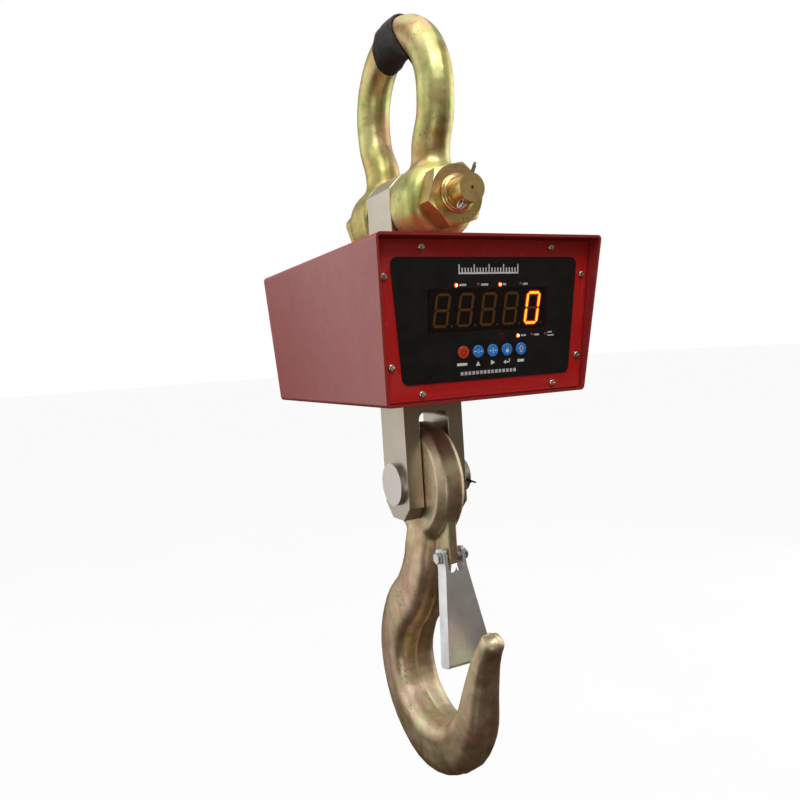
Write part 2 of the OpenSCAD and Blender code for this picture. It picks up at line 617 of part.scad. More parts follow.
// The split pin through the end of the hook pin lies nearly level, its legs to the front.
pin_cotter_x = cell_w / 2 + 9;
pin_cotter_turn = 80;
module hook_pin() color([0.67, 0.66, 0.63]) translate([0, 0, hook_z]) difference() {
  union() {
    x_rod(hook_pin_d, -cell_w / 2 - eps, cell_w / 2 + 15);
    x_rod(56, -cell_w / 2 - 7, -cell_w / 2);
  }
  translate([pin_cotter_x, 0, 0])
    rotate([180 - pin_cotter_turn, 0, 0])
      cylinder(d = 5.6, h = 80, center = true);
}
module pin_washer() color([0.7, 0.7, 0.68]) translate([0, 0, hook_z]) difference() {
  x_rod(56, cell_w / 2, cell_w / 2 + 4);
  x_rod(hook_pin_d + 0.2, cell_w / 2 - 1, cell_w / 2 + 5);
}
module pin_cotter() color([0.72, 0.72, 0.7])
  translate([pin_cotter_x, 0, hook_z]) rotate([180 - pin_cotter_turn, 0, 0]) {
    translate([0, 0, -26]) cylinder(d = 5, h = 62);
    translate([0, 0, -30]) rotate([0, 0, 90]) difference() {
      y_rod(11, -2.5, 2.5);
      y_rod(5, -4, 4);
    }
  }
latch_notch = 22;
latch_t = 2.5;
module latch_bolt() color([0.74, 0.74, 0.72]) translate([0, latch_at[0], latch_at[1]]) {
  x_rod(7.9, -latch_top_half - 1, latch_top_half + 9);
  rotate([0, 90, 0]) translate([0, 0, -latch_top_half - 6]) cylinder(d = 13 / cos(30), h = 5.5, $fn = 6);
}
module latch_nut() color([0.74, 0.74, 0.72]) translate([0, latch_at[0], latch_at[1]]) difference() {
  rotate([0, 90, 0]) translate([0, 0, latch_top_half + 0.5]) cylinder(d = 13 / cos(30), h = 6, $fn = 6);
  x_rod(8, 0, 60);
}
// The latch frame: origin on the pivot, -Z along the plate towards the hook tip.
latch_tilt = -atan(23.3 / 112);
latch_len = 133;
latch_front = 11;
latch_back = 10;
module in_latch() translate([0, latch_at[0], latch_at[1]]) rotate([latch_tilt, 0, 0]) children();
module latch_plate() color([0.62, 0.63, 0.62]) in_latch() difference() {
  intersection() {
    difference() {
      plate([[-latch_top_half, 12], [latch_top_half, 12], [latch_top_half, -14],
        [latch_end_half, -latch_len], [-latch_end_half, -latch_len], [-latch_top_half, -14]],
        -latch_front, latch_back);
      plate([[-latch_top_half + latch_t, 13], [latch_top_half - latch_t, 13], [latch_top_half - latch_t, -14],
        [latch_end_half - latch_t, -latch_len - 1], [latch_t - latch_end_half, -latch_len - 1],
        [latch_t - latch_top_half, -14]], -latch_front + latch_t, latch_back + 1);
      translate([-latch_notch / 2, -latch_front - 1, -14]) cube([latch_notch, 30, 40]);
      for (side = [-1, 1]) translate([side * latch_notch / 4, 0, -14])
        y_rod(latch_notch / 2, -latch_front - 1, 20);
    }
    rotate([0, 0, 90]) plate(rounded([[-latch_front, 11], [latch_back, 11], [latch_back, -latch_len],
      [-latch_front, -latch_len]], 5), -60, 60);
  }
  x_rod(8, -60, 60);
}
module latch_spring() color([0.75, 0.75, 0.75]) translate([0, latch_at[0], latch_at[1]]) difference() {
  union() {
    x_rod(13, -latch_top_half + latch_t + 0.1, -lug_half - 0.1);
    x_rod(13, lug_half + 0.1, latch_top_half - latch_t - 0.1);
  }
  x_rod(8.4, -40, 40);
}

shackle_bow();
bow_sleeve();
shackle_bolt();
shackle_nut();
shackle_cotter();
load_cell();
gauge_covers();
cell_lead();
upper_bracket();
lower_bracket();
bracket_bolts();
upper_seal();
lower_seal();
housing_shell();
front_panel();
front_screws();
panel_overlay();
display_window();
digit_1();
digit_2();
digit_3();
digit_4();
digit_5();
lit_leds();
dim_leds();
remote_window();
display_board();
board_spacers();
key_switches();
key_power();
key_zero();
key_tare();
key_lock();
key_up();
rear_panel();
rear_screws();
battery_cover();
cover_gasket();
cover_thumbscrews();
battery();
battery_tray();
battery_strap();
main_board();
main_spacers();
charger_socket();
hook_pin();
pin_washer();
pin_cotter();
hook_body();
latch_bolt();
latch_nut();
latch_spring();
latch_plate();
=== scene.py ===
import json
import math

import bmesh
import bpy
import numpy as np
from mathutils import Matrix, Vector


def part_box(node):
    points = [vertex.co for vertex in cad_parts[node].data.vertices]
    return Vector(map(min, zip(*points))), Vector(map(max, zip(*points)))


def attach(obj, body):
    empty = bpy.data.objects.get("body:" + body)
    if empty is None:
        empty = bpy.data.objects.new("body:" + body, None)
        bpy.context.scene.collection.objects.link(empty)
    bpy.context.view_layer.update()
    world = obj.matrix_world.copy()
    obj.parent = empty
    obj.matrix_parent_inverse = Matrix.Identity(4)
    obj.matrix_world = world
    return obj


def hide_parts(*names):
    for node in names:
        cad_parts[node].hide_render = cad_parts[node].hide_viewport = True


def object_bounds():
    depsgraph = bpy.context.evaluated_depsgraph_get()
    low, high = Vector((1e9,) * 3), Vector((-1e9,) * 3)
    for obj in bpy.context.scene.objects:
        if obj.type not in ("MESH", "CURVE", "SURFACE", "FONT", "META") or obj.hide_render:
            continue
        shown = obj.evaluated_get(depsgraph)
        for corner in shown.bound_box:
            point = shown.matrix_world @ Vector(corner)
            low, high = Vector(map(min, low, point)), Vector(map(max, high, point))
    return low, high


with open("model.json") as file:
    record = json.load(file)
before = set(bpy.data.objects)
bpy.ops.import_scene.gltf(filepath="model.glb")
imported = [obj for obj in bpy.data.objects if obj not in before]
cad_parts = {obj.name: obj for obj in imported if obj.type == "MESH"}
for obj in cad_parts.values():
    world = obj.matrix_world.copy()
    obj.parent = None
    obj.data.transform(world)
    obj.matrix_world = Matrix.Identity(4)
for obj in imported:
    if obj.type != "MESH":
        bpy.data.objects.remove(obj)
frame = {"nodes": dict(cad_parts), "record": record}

# A crane scale: shackle, load cell in a red sheet-metal housing, and a latched eye hook.
# Everything is in metres, in the row frame: +Z up, -Y towards the display.

MM = 0.001
BLACK = (0, 0, 0)
WHITE = (1, 1, 1)
NODES = frame["nodes"]
SLOT_OF = {s["node"]: s["material_slot"] for s in frame["record"]["subparts"]}
BODY_OF = {n: b for b, members in frame["record"]["behaviour"]["bodies"].items() for n in members}
JOINT = {j["name"]: j for j in frame["record"]["behaviour"]["joints"]}
cad_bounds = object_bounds()


# ---------------------------------------------------------------- camera

# The camera stands ahead of the display and to its left, level with the lower part of the housing.
CAMERA_AT = Vector((-0.4648, -0.8736, -0.3787))
CAMERA_YAW = math.radians(26.47)
CAMERA_PITCH = math.radians(-3.51)
CAMERA_ROLL = math.radians(-3.69)
LENS_MM = 33.55


def make_camera():
    data = bpy.data.cameras.new("camera")
    data.lens = LENS_MM
    data.sensor_width = 36.0
    data.clip_start = 0.05
    cam = bpy.data.objects.new("camera", data)
    bpy.context.scene.collection.objects.link(cam)
    forward = Vector((math.sin(CAMERA_YAW) * math.cos(CAMERA_PITCH),
                      math.cos(CAMERA_YAW) * math.cos(CAMERA_PITCH), math.sin(CAMERA_PITCH)))
    right = forward.cross(Vector((0, 0, 1))).normalized()
    up = right.cross(forward)
    tilted_right = right * math.cos(CAMERA_ROLL) + up * math.sin(CAMERA_ROLL)
    tilted_up = up * math.cos(CAMERA_ROLL) - right * math.sin(CAMERA_ROLL)
    turn = Matrix((tilted_right, tilted_up, -forward)).transposed()
    cam.matrix_world = Matrix.Translation(CAMERA_AT) @ turn.to_4x4()
    bpy.context.scene.camera = cam


make_camera()


# ---------------------------------------------------------------- node helpers

class Shader:
    """A material being built. Its methods add nodes and give back a socket, and put() sets the shader's own."""

    def __init__(self, name):
        self.mat = bpy.data.materials.new(name)
        self.mat.use_nodes = True
        self.tree = self.mat.node_tree
        self.bsdf = self.tree.nodes["Principled BSDF"]
        self.coords = self.tree.nodes.new("ShaderNodeTexCoord")

    def node(self, kind, **values):
        n = self.tree.nodes.new(kind)
        for key, value in values.items():
            if key in n.inputs:
                n.inputs[key].default_value = value
            else:
                setattr(n, key, value)
        return n

    def link(self, a, b):
        self.tree.links.new(a, b)

    def put(self, **values):
        for key, value in values.items():
            self.bsdf.inputs[key.replace("_", " ")].default_value = value

    def place(self, stretch=(1, 1, 1), shift=(0, 0, 0)):
        """Object coordinates, stretched for grain that runs one way, or shifted to vary the pattern."""
        m = self.node("ShaderNodeMapping")
        m.inputs["Location"].default_value = shift
        m.inputs["Scale"].default_value = stretch
        self.link(self.coords.outputs["Object"], m.inputs["Vector"])
        return m.outputs["Vector"]

    def noise(self, scale, detail=4.0, rough=0.5, distort=0.0, where=None):
        n = self.node("ShaderNodeTexNoise", Scale=scale, Detail=detail, Roughness=rough, Distortion=distort)
        self.link(where or self.coords.outputs["Object"], n.inputs["Vector"])
        return n.outputs["Fac"]

    def cells(self, scale, where=None):
        n = self.node("ShaderNodeTexVoronoi", Scale=scale)
        self.link(where or self.coords.outputs["Object"], n.inputs["Vector"])
        return n.outputs["Distance"]

    def ramp(self, fac, stops, smooth=False):
        r = self.node("ShaderNodeValToRGB")
        r.color_ramp.interpolation = "EASE" if smooth else "LINEAR"
        while len(r.color_ramp.elements) < len(stops):
            r.color_ramp.elements.new(0.5)
        for element, (at, colour) in zip(r.color_ramp.elements, stops):
            element.position = at
            element.color = (*colour, 1)
        self.link(fac, r.inputs["Fac"])
        return r.outputs["Color"]

    def span(self, fac, low, high, from_low=0.0, from_high=1.0):
        m = self.node("ShaderNodeMapRange")
        m.inputs["From Min"].default_value = from_low
        m.inputs["From Max"].default_value = from_high
        m.inputs["To Min"].default_value = low
        m.inputs["To Max"].default_value = high
        self.link(fac, m.inputs["Value"])
        return m.outputs["Result"]

    def feed(self, value, socket):
        """Puts a number, a colour or another node's output into a socket."""
        if isinstance(value, (int, float)):
            socket.default_value = value
        elif isinstance(value, tuple):
            socket.default_value = (*value, 1)
        else:
            self.link(value, socket)

    def mix(self, fac, a, b, how="MIX"):
        m = self.node("ShaderNodeMix")
        m.data_type = "RGBA"
        m.blend_type = how
        # A Mix node's inputs 0, 6 and 7 and its output 2 are the ones for colour.
        self.feed(fac, m.inputs[0])
        self.feed(a, m.inputs[6])
        self.feed(b, m.inputs[7])
        return m.outputs[2]

    def calc(self, how, a, b):
        m = self.node("ShaderNodeMath")
        m.operation = how
        self.feed(a, m.inputs[0])
        self.feed(b, m.inputs[1])
        return m.outputs[0]

    def edges(self, low, high):
        """1 on sharp outward edges, 0 on flats."""
        g = self.node("ShaderNodeNewGeometry")
        return self.span(g.outputs["Pointiness"], 0.0, 1.0, low, high)

    def bump(self, height, strength, distance, below=None):
        b = self.node("ShaderNodeBump", Strength=strength, Distance=distance)
        self.link(height, b.inputs["Height"])
        if below is not None:
            self.link(below, b.inputs["Normal"])
        self.link(b.outputs["Normal"], self.bsdf.inputs["Normal"])
        return b.outputs["Normal"]

    def colour(self, socket):
        self.link(socket, self.bsdf.inputs["Base Color"])

    def rough(self, socket):
        self.link(socket, self.bsdf.inputs["Roughness"])


# ---------------------------------------------------------------- materials

def shade(tone, factor):
    """A colour made darker or lighter, and no brighter than full."""
    return tuple(min(1, c * factor) for c in tone)


def zinc_yellow(name, tones, rough, grain, seed, tint):
    """Yellow zinc chromate over forged steel: straw, green, pink and brown drift into each other."""
    s = Shader(name)
    s.put(Metallic=1.0)
    where = s.place(shift=(seed, seed * 0.7, -seed))
    tone = s.ramp(s.noise(7, 3, 0.55, 1.0, where), tones, smooth=True)
    for scale, low, high, colour in ((13, 0.47, 0.62, PINK_BLOOM), (18, 0.50, 0.66, GREEN_BLOOM),
                                     (10, 0.50, 0.64, BROWN_BLOOM)):
        bloom = s.ramp(s.noise(scale, 4, 0.55, 1.4 + scale * 0.02, where), [(low, BLACK), (high, WHITE)])
        tone = s.mix(s.calc("MULTIPLY", bloom, tint), tone, s.mix(0.65, tone, colour))
    grime = s.ramp(s.noise(70, 6, 0.65, 0.3, where), [(0.3, (0.6, 0.5, 0.36)), (0.58, WHITE)])
    tone = s.mix(0.5, tone, grime, "MULTIPLY")
    patch = s.ramp(s.noise(16, 3, 0.5, 0.0, where), [(0.60, BLACK), (0.66, WHITE)])
    pits = s.ramp(s.cells(210, where), [(0.16, WHITE), (0.34, BLACK)])
    scale_marks = s.calc("MULTIPLY", patch, pits)
    tone = s.mix(s.calc("MULTIPLY", scale_marks, 0.55), tone, (0.12, 0.09, 0.04))
    s.colour(tone)
    s.rough(s.calc("ADD", s.span(s.noise(45, 5, 0.6, 0.2, where), rough[0], rough[1], 0.3, 0.7),
                   s.calc("MULTIPLY", scale_marks, 0.2)))
    low = s.bump(s.noise(34, 4, 0.5, 0.0, where), grain, 1.4 * MM)
    mid = s.bump(s.noise(380, 3, 0.6, 0.0, where), grain * 0.7, 0.22 * MM, low)
    s.bump(s.calc("SUBTRACT", 1.0, scale_marks), 0.5, 0.35 * MM, mid)
    return s.mat


def nickel(name, tint, grain_dir=(1, 1, 1), rough=(0.32, 0.48), wear=0.12):
    """Satin plated steel with a milled grain and faint handling marks."""
    s = Shader(name)
    s.put(Metallic=1.0)
    lines = s.noise(260, 4, 0.7, 0.0, s.place(grain_dir))
    cloud = s.noise(14, 4, 0.6, 0.5)
    tone = s.mix(s.span(cloud, 0.0, 0.5, 0.35, 0.7), tint, shade(tint, 0.8))
    tone = s.mix(s.span(lines, 0.0, wear, 0.3, 0.8), tone, shade(tint, 1.18))
    scratch = s.ramp(s.noise(9, 2, 0.5, 6.0, s.place((1, 1, 0.25))), [(0.49, BLACK), (0.5, WHITE), (0.51, BLACK)])
    tone = s.mix(s.calc("MULTIPLY", scratch, 0.18), tone, (0.85, 0.83, 0.8))
    s.colour(tone)
    s.rough(s.span(s.calc("ADD", lines, cloud), rough[0], rough[1], 0.6, 1.4))
    low = s.bump(s.noise(30, 3, 0.5), 0.12, 0.6 * MM)
    s.bump(lines, 0.12, 0.06 * MM, low)
    return s.mat


def bright_zinc(name, tint=(0.72, 0.73, 0.73), spangle=0.0, rough=(0.2, 0.42)):
    """Bright zinc plate, with a soft spangle and small dull smears."""
    s = Shader(name)
    s.put(Metallic=1.0)
    smear = s.noise(26, 5, 0.65, 0.9)
    cell = s.cells(110)
    tone = s.mix(s.span(smear, 0, 0.7, 0.4, 0.65), tint, shade(tint, 0.72))
    tone = s.mix(s.calc("MULTIPLY", cell, spangle), tone, (0.9, 0.93, 0.97))
    s.colour(tone)
    s.rough(s.span(smear, rough[0], rough[1], 0.35, 0.68))
    low = s.bump(s.noise(55, 4, 0.6), 0.1, 0.5 * MM)
    s.bump(s.noise(600, 2, 0.5), 0.12, 0.05 * MM, low)
    return s.mat


def powder_coat(name, deep, worn, rough, coat):
    """Red powder coat: orange peel, faint dust and paler rubbed edges."""
    s = Shader(name)
    s.put(Coat_Weight=coat, Coat_Roughness=0.22, IOR=1.5)
    cloud = s.noise(7, 4, 0.6, 0.4)
    tone = s.mix(s.span(cloud, 0, 0.5, 0.3, 0.7), deep, shade(deep, 0.8))
    tone = s.mix(s.calc("MULTIPLY", s.edges(0.53, 0.62), 0.5), tone, worn)
    dust = s.ramp(s.noise(85, 6, 0.7), [(0.56, BLACK), (0.8, WHITE)])
    tone = s.mix(s.calc("MULTIPLY", dust, 0.1), tone, (0.55, 0.38, 0.36))
    s.colour(tone)
    s.rough(s.span(s.noise(40, 4, 0.6), rough[0], rough[1], 0.3, 0.7))
    peel = s.bump(s.noise(520, 2, 0.4), 0.16, 0.12 * MM)
    s.bump(s.noise(12, 3, 0.5), 0.08, 1.0 * MM, peel)
    return s.mat


def rubber(name, tone=(0.025, 0.025, 0.023), streak=(1, 1, 1)):
    """Black rubber or webbing with dull scuff marks."""
    s = Shader(name)
    marks = s.noise(70, 6, 0.7, 0.6, s.place(streak))
    s.colour(s.ramp(marks, [(0.35, shade(tone, 0.6)), (0.6, tone), (0.78, shade(tone, 3.2))]))
    s.rough(s.span(marks, 0.8, 0.5, 0.3, 0.75))
    s.bump(marks, 0.35, 0.5 * MM)
    return s.mat


def plastic(name, tone, rough, grain=300, depth=0.05, coat=0.0, variation=0.12):
    """Moulded plastic, a printed mark or a membrane; `depth` is the height of its grain in millimetres."""
    s = Shader(name)
    s.put(IOR=1.49, Coat_Weight=coat, Coat_Roughness=0.08)
    cloud = s.noise(40, 4, 0.6, 0.2)
    s.colour(s.mix(s.span(cloud, 0, 1, 0.35, 0.7), shade(tone, 1 - variation),
                   shade(tone, 1 + variation)))
    s.rough(s.span(s.noise(90, 3, 0.5), rough * 0.85, rough * 1.2, 0.3, 0.7))
    s.bump(s.noise(grain, 2, 0.5), 0.2, depth * MM)
    return s.mat


def glow(name, tone, strength, core):
    """A lit lamp surface, or painted glow on an unlit one or round a lit digit, mottled between `tone` and
    `core`.
    """
    s = Shader(name)
    cloud = s.noise(120, 2, 0.5)
    s.colour(s.mix(s.span(cloud, 0, 1, 0.3, 0.7), tone, shade(tone, 0.85)))
    s.link(s.mix(s.span(cloud, 0, 0.25, 0.3, 0.7), tone, core), s.bsdf.inputs["Emission Color"])
    s.put(Emission_Strength=strength, Roughness=0.3)
    return s.mat


def smoked(name, tone, cover):
    """A dark lens, mostly clear: `cover` is how much of what is behind it is hidden."""
    s = Shader(name)
    s.put(Alpha=cover, IOR=1.5)
    s.colour(s.mix(s.span(s.noise(30, 3, 0.5), 0, 1, 0.3, 0.7), tone, shade(tone, 0.8)))
    s.rough(s.span(s.noise(200, 2, 0.5), 0.3, 0.4, 0.3, 0.7))
    return s.mat


def board(name):
    """Green circuit board with paler tracks."""
    s = Shader(name)
    grid = s.node("ShaderNodeTexBrick", Scale=60.0)
    s.link(s.coords.outputs["Object"], grid.inputs["Vector"])
    grid.inputs["Color1"].default_value = (0.015, 0.11, 0.04, 1)
    grid.inputs["Color2"].default_value = (0.02, 0.15, 0.05, 1)
    grid.inputs["Mortar"].default_value = (0.05, 0.22, 0.08, 1)
    s.colour(grid.outputs["Color"])
    s.put(Coat_Weight=0.4)
    s.rough(s.span(s.noise(80, 3, 0.5), 0.3, 0.5, 0.3, 0.7))
    s.bump(grid.outputs["Fac"], 0.2, 0.05 * MM)
    return s.mat


PINK_BLOOM = (0.72, 0.36, 0.24)
GREEN_BLOOM = (0.36, 0.58, 0.18)
BROWN_BLOOM = (0.36, 0.17, 0.055)
BOW_TONES = [(0.28, (0.42, 0.37, 0.12)), (0.42, (0.62, 0.55, 0.20)),
             (0.55, (0.68, 0.67, 0.29)), (0.72, (0.68, 0.52, 0.26))]
BOLT_TONES = [(0.28, (0.52, 0.36, 0.11)), (0.42, (0.72, 0.56, 0.20)),
              (0.55, (0.80, 0.58, 0.27)), (0.72, (0.78, 0.48, 0.29))]
HOOK_TONES = [(0.28, (0.58, 0.55, 0.28)), (0.42, (0.76, 0.64, 0.44)),
              (0.55, (0.82, 0.66, 0.50)), (0.72, (0.74, 0.76, 0.42))]

MATERIALS = {
    "bow_zinc": zinc_yellow("bow_zinc", BOW_TONES, (0.34, 0.48), 0.18, 0.3, 0.8),
    "bolt_zinc": zinc_yellow("bolt_zinc", BOLT_TONES, (0.25, 0.38), 0.05, 2.1, 0.45),
    "sleeve_rubber": rubber("sleeve_rubber", (0.022, 0.021, 0.018)),
    "bright_steel": bright_zinc("bright_steel"),
    "cell_nickel": nickel("cell_nickel", (0.63, 0.58, 0.49), (0.15, 1, 0.04), (0.3, 0.42)),
    "pin_nickel": nickel("pin_nickel", (0.80, 0.77, 0.72), (1, 1, 1), (0.3, 0.42), 0.2),
    "cover_steel": nickel("cover_steel", (0.66, 0.65, 0.63)),
    "lead_jacket": rubber("lead_jacket"),
    "bracket_steel": bright_zinc("bracket_steel", (0.62, 0.62, 0.6)),
    "seal_rubber": rubber("seal_rubber"),
    "housing_paint": powder_coat("housing_paint", (0.38, 0.026, 0.026), (0.6, 0.08, 0.07), (0.34, 0.46), 0.6),
    "panel_paint": powder_coat("panel_paint", (0.56, 0.006, 0.006), (0.62, 0.04, 0.04), (0.42, 0.55), 0.08),
    "screw_steel": bright_zinc("screw_steel", (0.78, 0.74, 0.68), 0.0, (0.15, 0.3)),
    "membrane": plastic("membrane", (0.006, 0.006, 0.006), 0.38, 900, 0.02, 0.0, 0.3),
    "smoked_lens": smoked("smoked_lens", (0.008, 0.006, 0.006), 0.45),
    # digit_unlit glows faintly: painted light on segments that are not lit.
    "digit_unlit": glow("digit_unlit", (0.16, 0.055, 0.004), 1.0, (0.13, 0.045, 0.003)),
    "digit_lit": glow("digit_lit", (1.0, 0.5, 0.03), 5.0, (1.0, 0.62, 0.06)),
    "led_on": glow("led_on", (1.0, 0.62, 0.18), 4.5, (1.0, 0.8, 0.35)),
    "led_off": plastic("led_off", (0.12, 0.02, 0.01), 0.2, 300, 0.01, 0.6),
    "remote_lens": plastic("remote_lens", (0.05, 0.006, 0.006), 0.15, 300, 0.01, 0.6),
    "circuit_board": board("circuit_board"),
    "spacer_brass": nickel("spacer_brass", (0.68, 0.52, 0.22)),
    "switch_black": plastic("switch_black", (0.02, 0.02, 0.02), 0.45),
    "key_red": plastic("key_red", (0.62, 0.06, 0.022), 0.22, 300, 0.02, 0.8),
    "key_blue": plastic("key_blue", (0.03, 0.26, 0.80), 0.22, 300, 0.02, 0.8),
    "gasket_rubber": rubber("gasket_rubber"),
    "battery_case": plastic("battery_case", (0.04, 0.04, 0.045), 0.5, 200, 0.1),
    "strap_web": rubber("strap_web", (0.02, 0.02, 0.02), (1, 1, 6)),
    "socket_plastic": plastic("socket_plastic", (0.02, 0.02, 0.02), 0.4, 200, 0.08),
    "hook_zinc": zinc_yellow("hook_zinc", HOOK_TONES, (0.38, 0.55), 0.24, 5.7, 0.5),
    "latch_steel": bright_zinc("latch_steel", (0.90, 0.92, 0.95), 0.15, (0.3, 0.46)),
    "spring_steel": bright_zinc("spring_steel", (0.5, 0.5, 0.5)),
}
DIGIT_BODY = plastic("digit_body", (0.006, 0.004, 0.003), 0.5, 300, 0.03)
# The halo is painted glow: red light spread round the lit nought onto the dark digit body.
GLOW_HALO = glow("digit_halo", (0.5, 0.01, 0.0), 0.5, (0.6, 0.02, 0.0))
GLOW_RIM = glow("digit_rim", (1.0, 0.06, 0.0), 2.6, (1.0, 0.12, 0.01))
# Dark steel for the split pins' legs: painted shade, the legs made darker than the eye of the same wire.
PIN_SHADED_STEEL = nickel("pin_steel_painted_shade", (0.10, 0.095, 0.085), (1, 1, 1), (0.4, 0.55), 0.3)
LED_RIM = glow("led_rim", (1.0, 0.07, 0.0), 2.2, (1.0, 0.16, 0.01))
PRINT_GREY = plastic("print_grey", (0.62, 0.62, 0.66), 0.45, 300, 0.01)
PRINT_DARK = plastic("print_dark", (0.03, 0.008, 0.006), 0.4, 300, 0.01)
PRINT_WHITE = plastic("print_white", (0.86, 0.86, 0.84), 0.45, 300, 0.01)
PRINT_KEY = plastic("print_key", (0.85, 0.87, 0.9), 0.35, 300, 0.01)


# ---------------------------------------------------------------- mesh helpers

def piece(name, mesh, node, material=None, hide=True):
    """A new object for a CAD node: it rides on the node's body and takes its slot."""
    obj = bpy.data.objects.new(name, mesh)
    bpy.context.scene.collection.objects.link(obj)
    obj.data.materials.clear()
    obj.data.materials.append(material or MATERIALS[SLOT_OF[node]])
    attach(obj, BODY_OF[node])
    if hide:
        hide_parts(node)
    return obj


WELD = 2e-6


def mesh_from(bm, name):
    """Turns a finished bmesh into a mesh, its faces all outwards."""
    bmesh.ops.recalc_face_normals(bm, faces=bm.faces)
    mesh = bpy.data.meshes.new(name)
    bm.to_mesh(mesh)
    bm.free()
    return mesh


def circle(sides):
    """The angles of `sides` points round a circle."""
    return [2 * math.pi * k / sides for k in range(sides)]


def copy_of(node):
    """The CAD node's mesh as a fresh, welded mesh."""
    mesh = NODES[node].data.copy()
    bm = bmesh.new()
    bm.from_mesh(mesh)
    bmesh.ops.remove_doubles(bm, verts=bm.verts, dist=WELD)
    bm.to_mesh(mesh)
    bm.free()
    return mesh


def apply_modifiers(obj):
    graph = bpy.context.evaluated_depsgraph_get()
    mesh = bpy.data.meshes.new_from_object(obj.evaluated_get(graph))
    obj.modifiers.clear()
    obj.data = mesh


def smooth_faces(obj, angle):
    for p in obj.data.polygons:
        p.use_smooth = True
    obj.data.set_sharp_from_angle(angle=math.radians(angle))


def soften(obj, bevel):
    """Breaks the sharp edges with a small round, `bevel` millimetres, and keeps the flats flat."""
    b = obj.modifiers.new("bevel", "BEVEL")
    b.width = bevel * MM
    b.segments = 2
    b.limit_method = "ANGLE"
    b.angle_limit = math.radians(30)
    b.use_clamp_overlap = True
    apply_modifiers(obj)
    smooth_faces(obj, 38)
    obj.modifiers.new("weighted", "WEIGHTED_NORMAL").keep_sharp = True
    apply_modifiers(obj)


def machined(node, bevel):
    """The CAD node without the triangles of its flats, and with its sharp edges broken."""
    mesh = copy_of(node)
    bm = bmesh.new()
    bm.from_mesh(mesh)
    bmesh.ops.dissolve_limit(bm, angle_limit=math.radians(0.6), verts=bm.verts, edges=bm.edges)
    bm.to_mesh(mesh)
    bm.free()
    obj = piece(node + "_finish", mesh, node)
    soften(obj, bevel)
    return obj


def forged(node, voxel, rounds, blend_zone, blend_rounds, fill, ridge):
    """The CAD node as one smooth forging. Its joins blend within blend_zone(co), from 0 to 1, and swell by `fill`
    metres to make up for what the blending wears off. The parting line is a low ridge, ridge(co) high, in the
    plane X = 0."""
    ridge_width = 1.7 * MM
    steepest = 0.6
    obj = piece(node + "_forging", copy_of(node), node)
    r = obj.modifiers.new("remesh", "REMESH")
    r.mode = "VOXEL"
    r.voxel_size = voxel * MM
    apply_modifiers(obj)
    group = obj.vertex_groups.new(name="joins")
    for v in obj.data.vertices:
        group.add([v.index], blend_zone(v.co), "REPLACE")
    for count, name in ((rounds, ""), (blend_rounds, "joins")):
        s = obj.modifiers.new("relax", "SMOOTH")
        s.factor = 0.5
        s.iterations = count
        s.vertex_group = name
    apply_modifiers(obj)
    normals = [v.normal.copy() for v in obj.data.vertices]
    for v, n in zip(obj.data.vertices, normals):
        v.co += n * fill * blend_zone(v.co)
        if abs(n.x) < steepest:
            v.co += n * ridge(v.co) * math.exp(-(v.co.x / ridge_width) ** 2)
    obj.vertex_groups.clear()
    smooth_faces(obj, 180)
    return obj


def lathe(name, node, profile, at, axis, sides, material=None):
    """A turned piece: profile is [(radius, distance along the axis)], from one end to the other."""
    axis = Vector(axis).normalized()
    side = axis.orthogonal().normalized()
    other = axis.cross(side)
    on_axis = 1e-7
    bm = bmesh.new()
    rings = []
    for radius, along in profile:
        centre = Vector(at) + axis * along
        if radius < on_axis:
            rings.append([bm.verts.new(centre)])
        else:
            rings.append([bm.verts.new(centre + (side * math.cos(t) + other * math.sin(t)) * radius)
                          for t in circle(sides)])
    for a, b in zip(rings, rings[1:]):
        for k in range(sides):
            n = (k + 1) % sides
            corners = [a[k % len(a)], a[n % len(a)], b[n % len(b)], b[k % len(b)]]
            corners = list(dict.fromkeys(corners))
            if len(corners) > 2:
                bm.faces.new(corners)
    smooth_faces(piece(name, mesh_from(bm, name), node, material), 35)


def splined(points, steps):
    """Points on a smooth curve through all the points given, `steps` to each span."""
    line = []
    for i in range(len(points) - 1):
        p0, p1, p2 = points[max(i - 1, 0)], points[i], points[i + 1]
        p3 = points[min(i + 2, len(points) - 1)]
        for k in range(steps):
            t = k / steps
            line.append(0.5 * (2 * p1 + (p2 - p0) * t + (2 * p0 - 5 * p1 + 4 * p2 - p3) * t * t
                               + (3 * p1 - p0 - 3 * p2 + p3) * t ** 3))
    line.append(points[-1])
    return line


def wire(name, node, paths, radius, material=None, hide=True, steps=6):
    """Round wire with rounded ends along each path of points, splined smooth."""
    sides = 12
    end_bulge = 0.35
    bm = bmesh.new()
    for path in paths:
        line = splined([Vector(p) for p in path], steps)
        normal = None
        rings = []
        for i, p in enumerate(line):
            along = (line[min(i + 1, len(line) - 1)] - line[max(i - 1, 0)]).normalized()
            normal = along.orthogonal() if normal is None else normal - along * normal.dot(along)
            normal.normalize()
            across = along.cross(normal)
            rings.append([bm.verts.new(p + (normal * math.cos(a) + across * math.sin(a)) * radius)
                          for a in circle(sides)])
        for a, b in zip(rings, rings[1:]):
            for k in range(sides):
                n = (k + 1) % sides
                bm.faces.new((a[k], a[n], b[n], b[k]))
        for ring, inward in ((rings[0], line[1] - line[0]), (rings[-1], line[-2] - line[-1])):
            centre = sum((v.co for v in ring), Vector()) / sides
            tip = bm.verts.new(centre - inward.normalized() * radius * end_bulge)
            for k in range(sides):
                bm.faces.new((ring[k], ring[(k + 1) % sides], tip))
    smooth_faces(piece(name, mesh_from(bm, name), node, material, hide), 50)


# ---------------------------------------------------------------- places

BOLT_Z = Vector(JOINT["shackle_pivot"]["pos_m"]).z
HOOK_Z = Vector(JOINT["hook_pivot"]["pos_m"]).z
LATCH_AT = Vector(JOINT["latch_pivot"]["pos_m"])
RIGHT = Vector((1, 0, 0))
ALONG_BOLT = Vector((0, 1, 0))
INTO = Vector(JOINT["key_power_press"]["axis"]).normalized()
UP = Vector((0, -INTO.z, INTO.y))


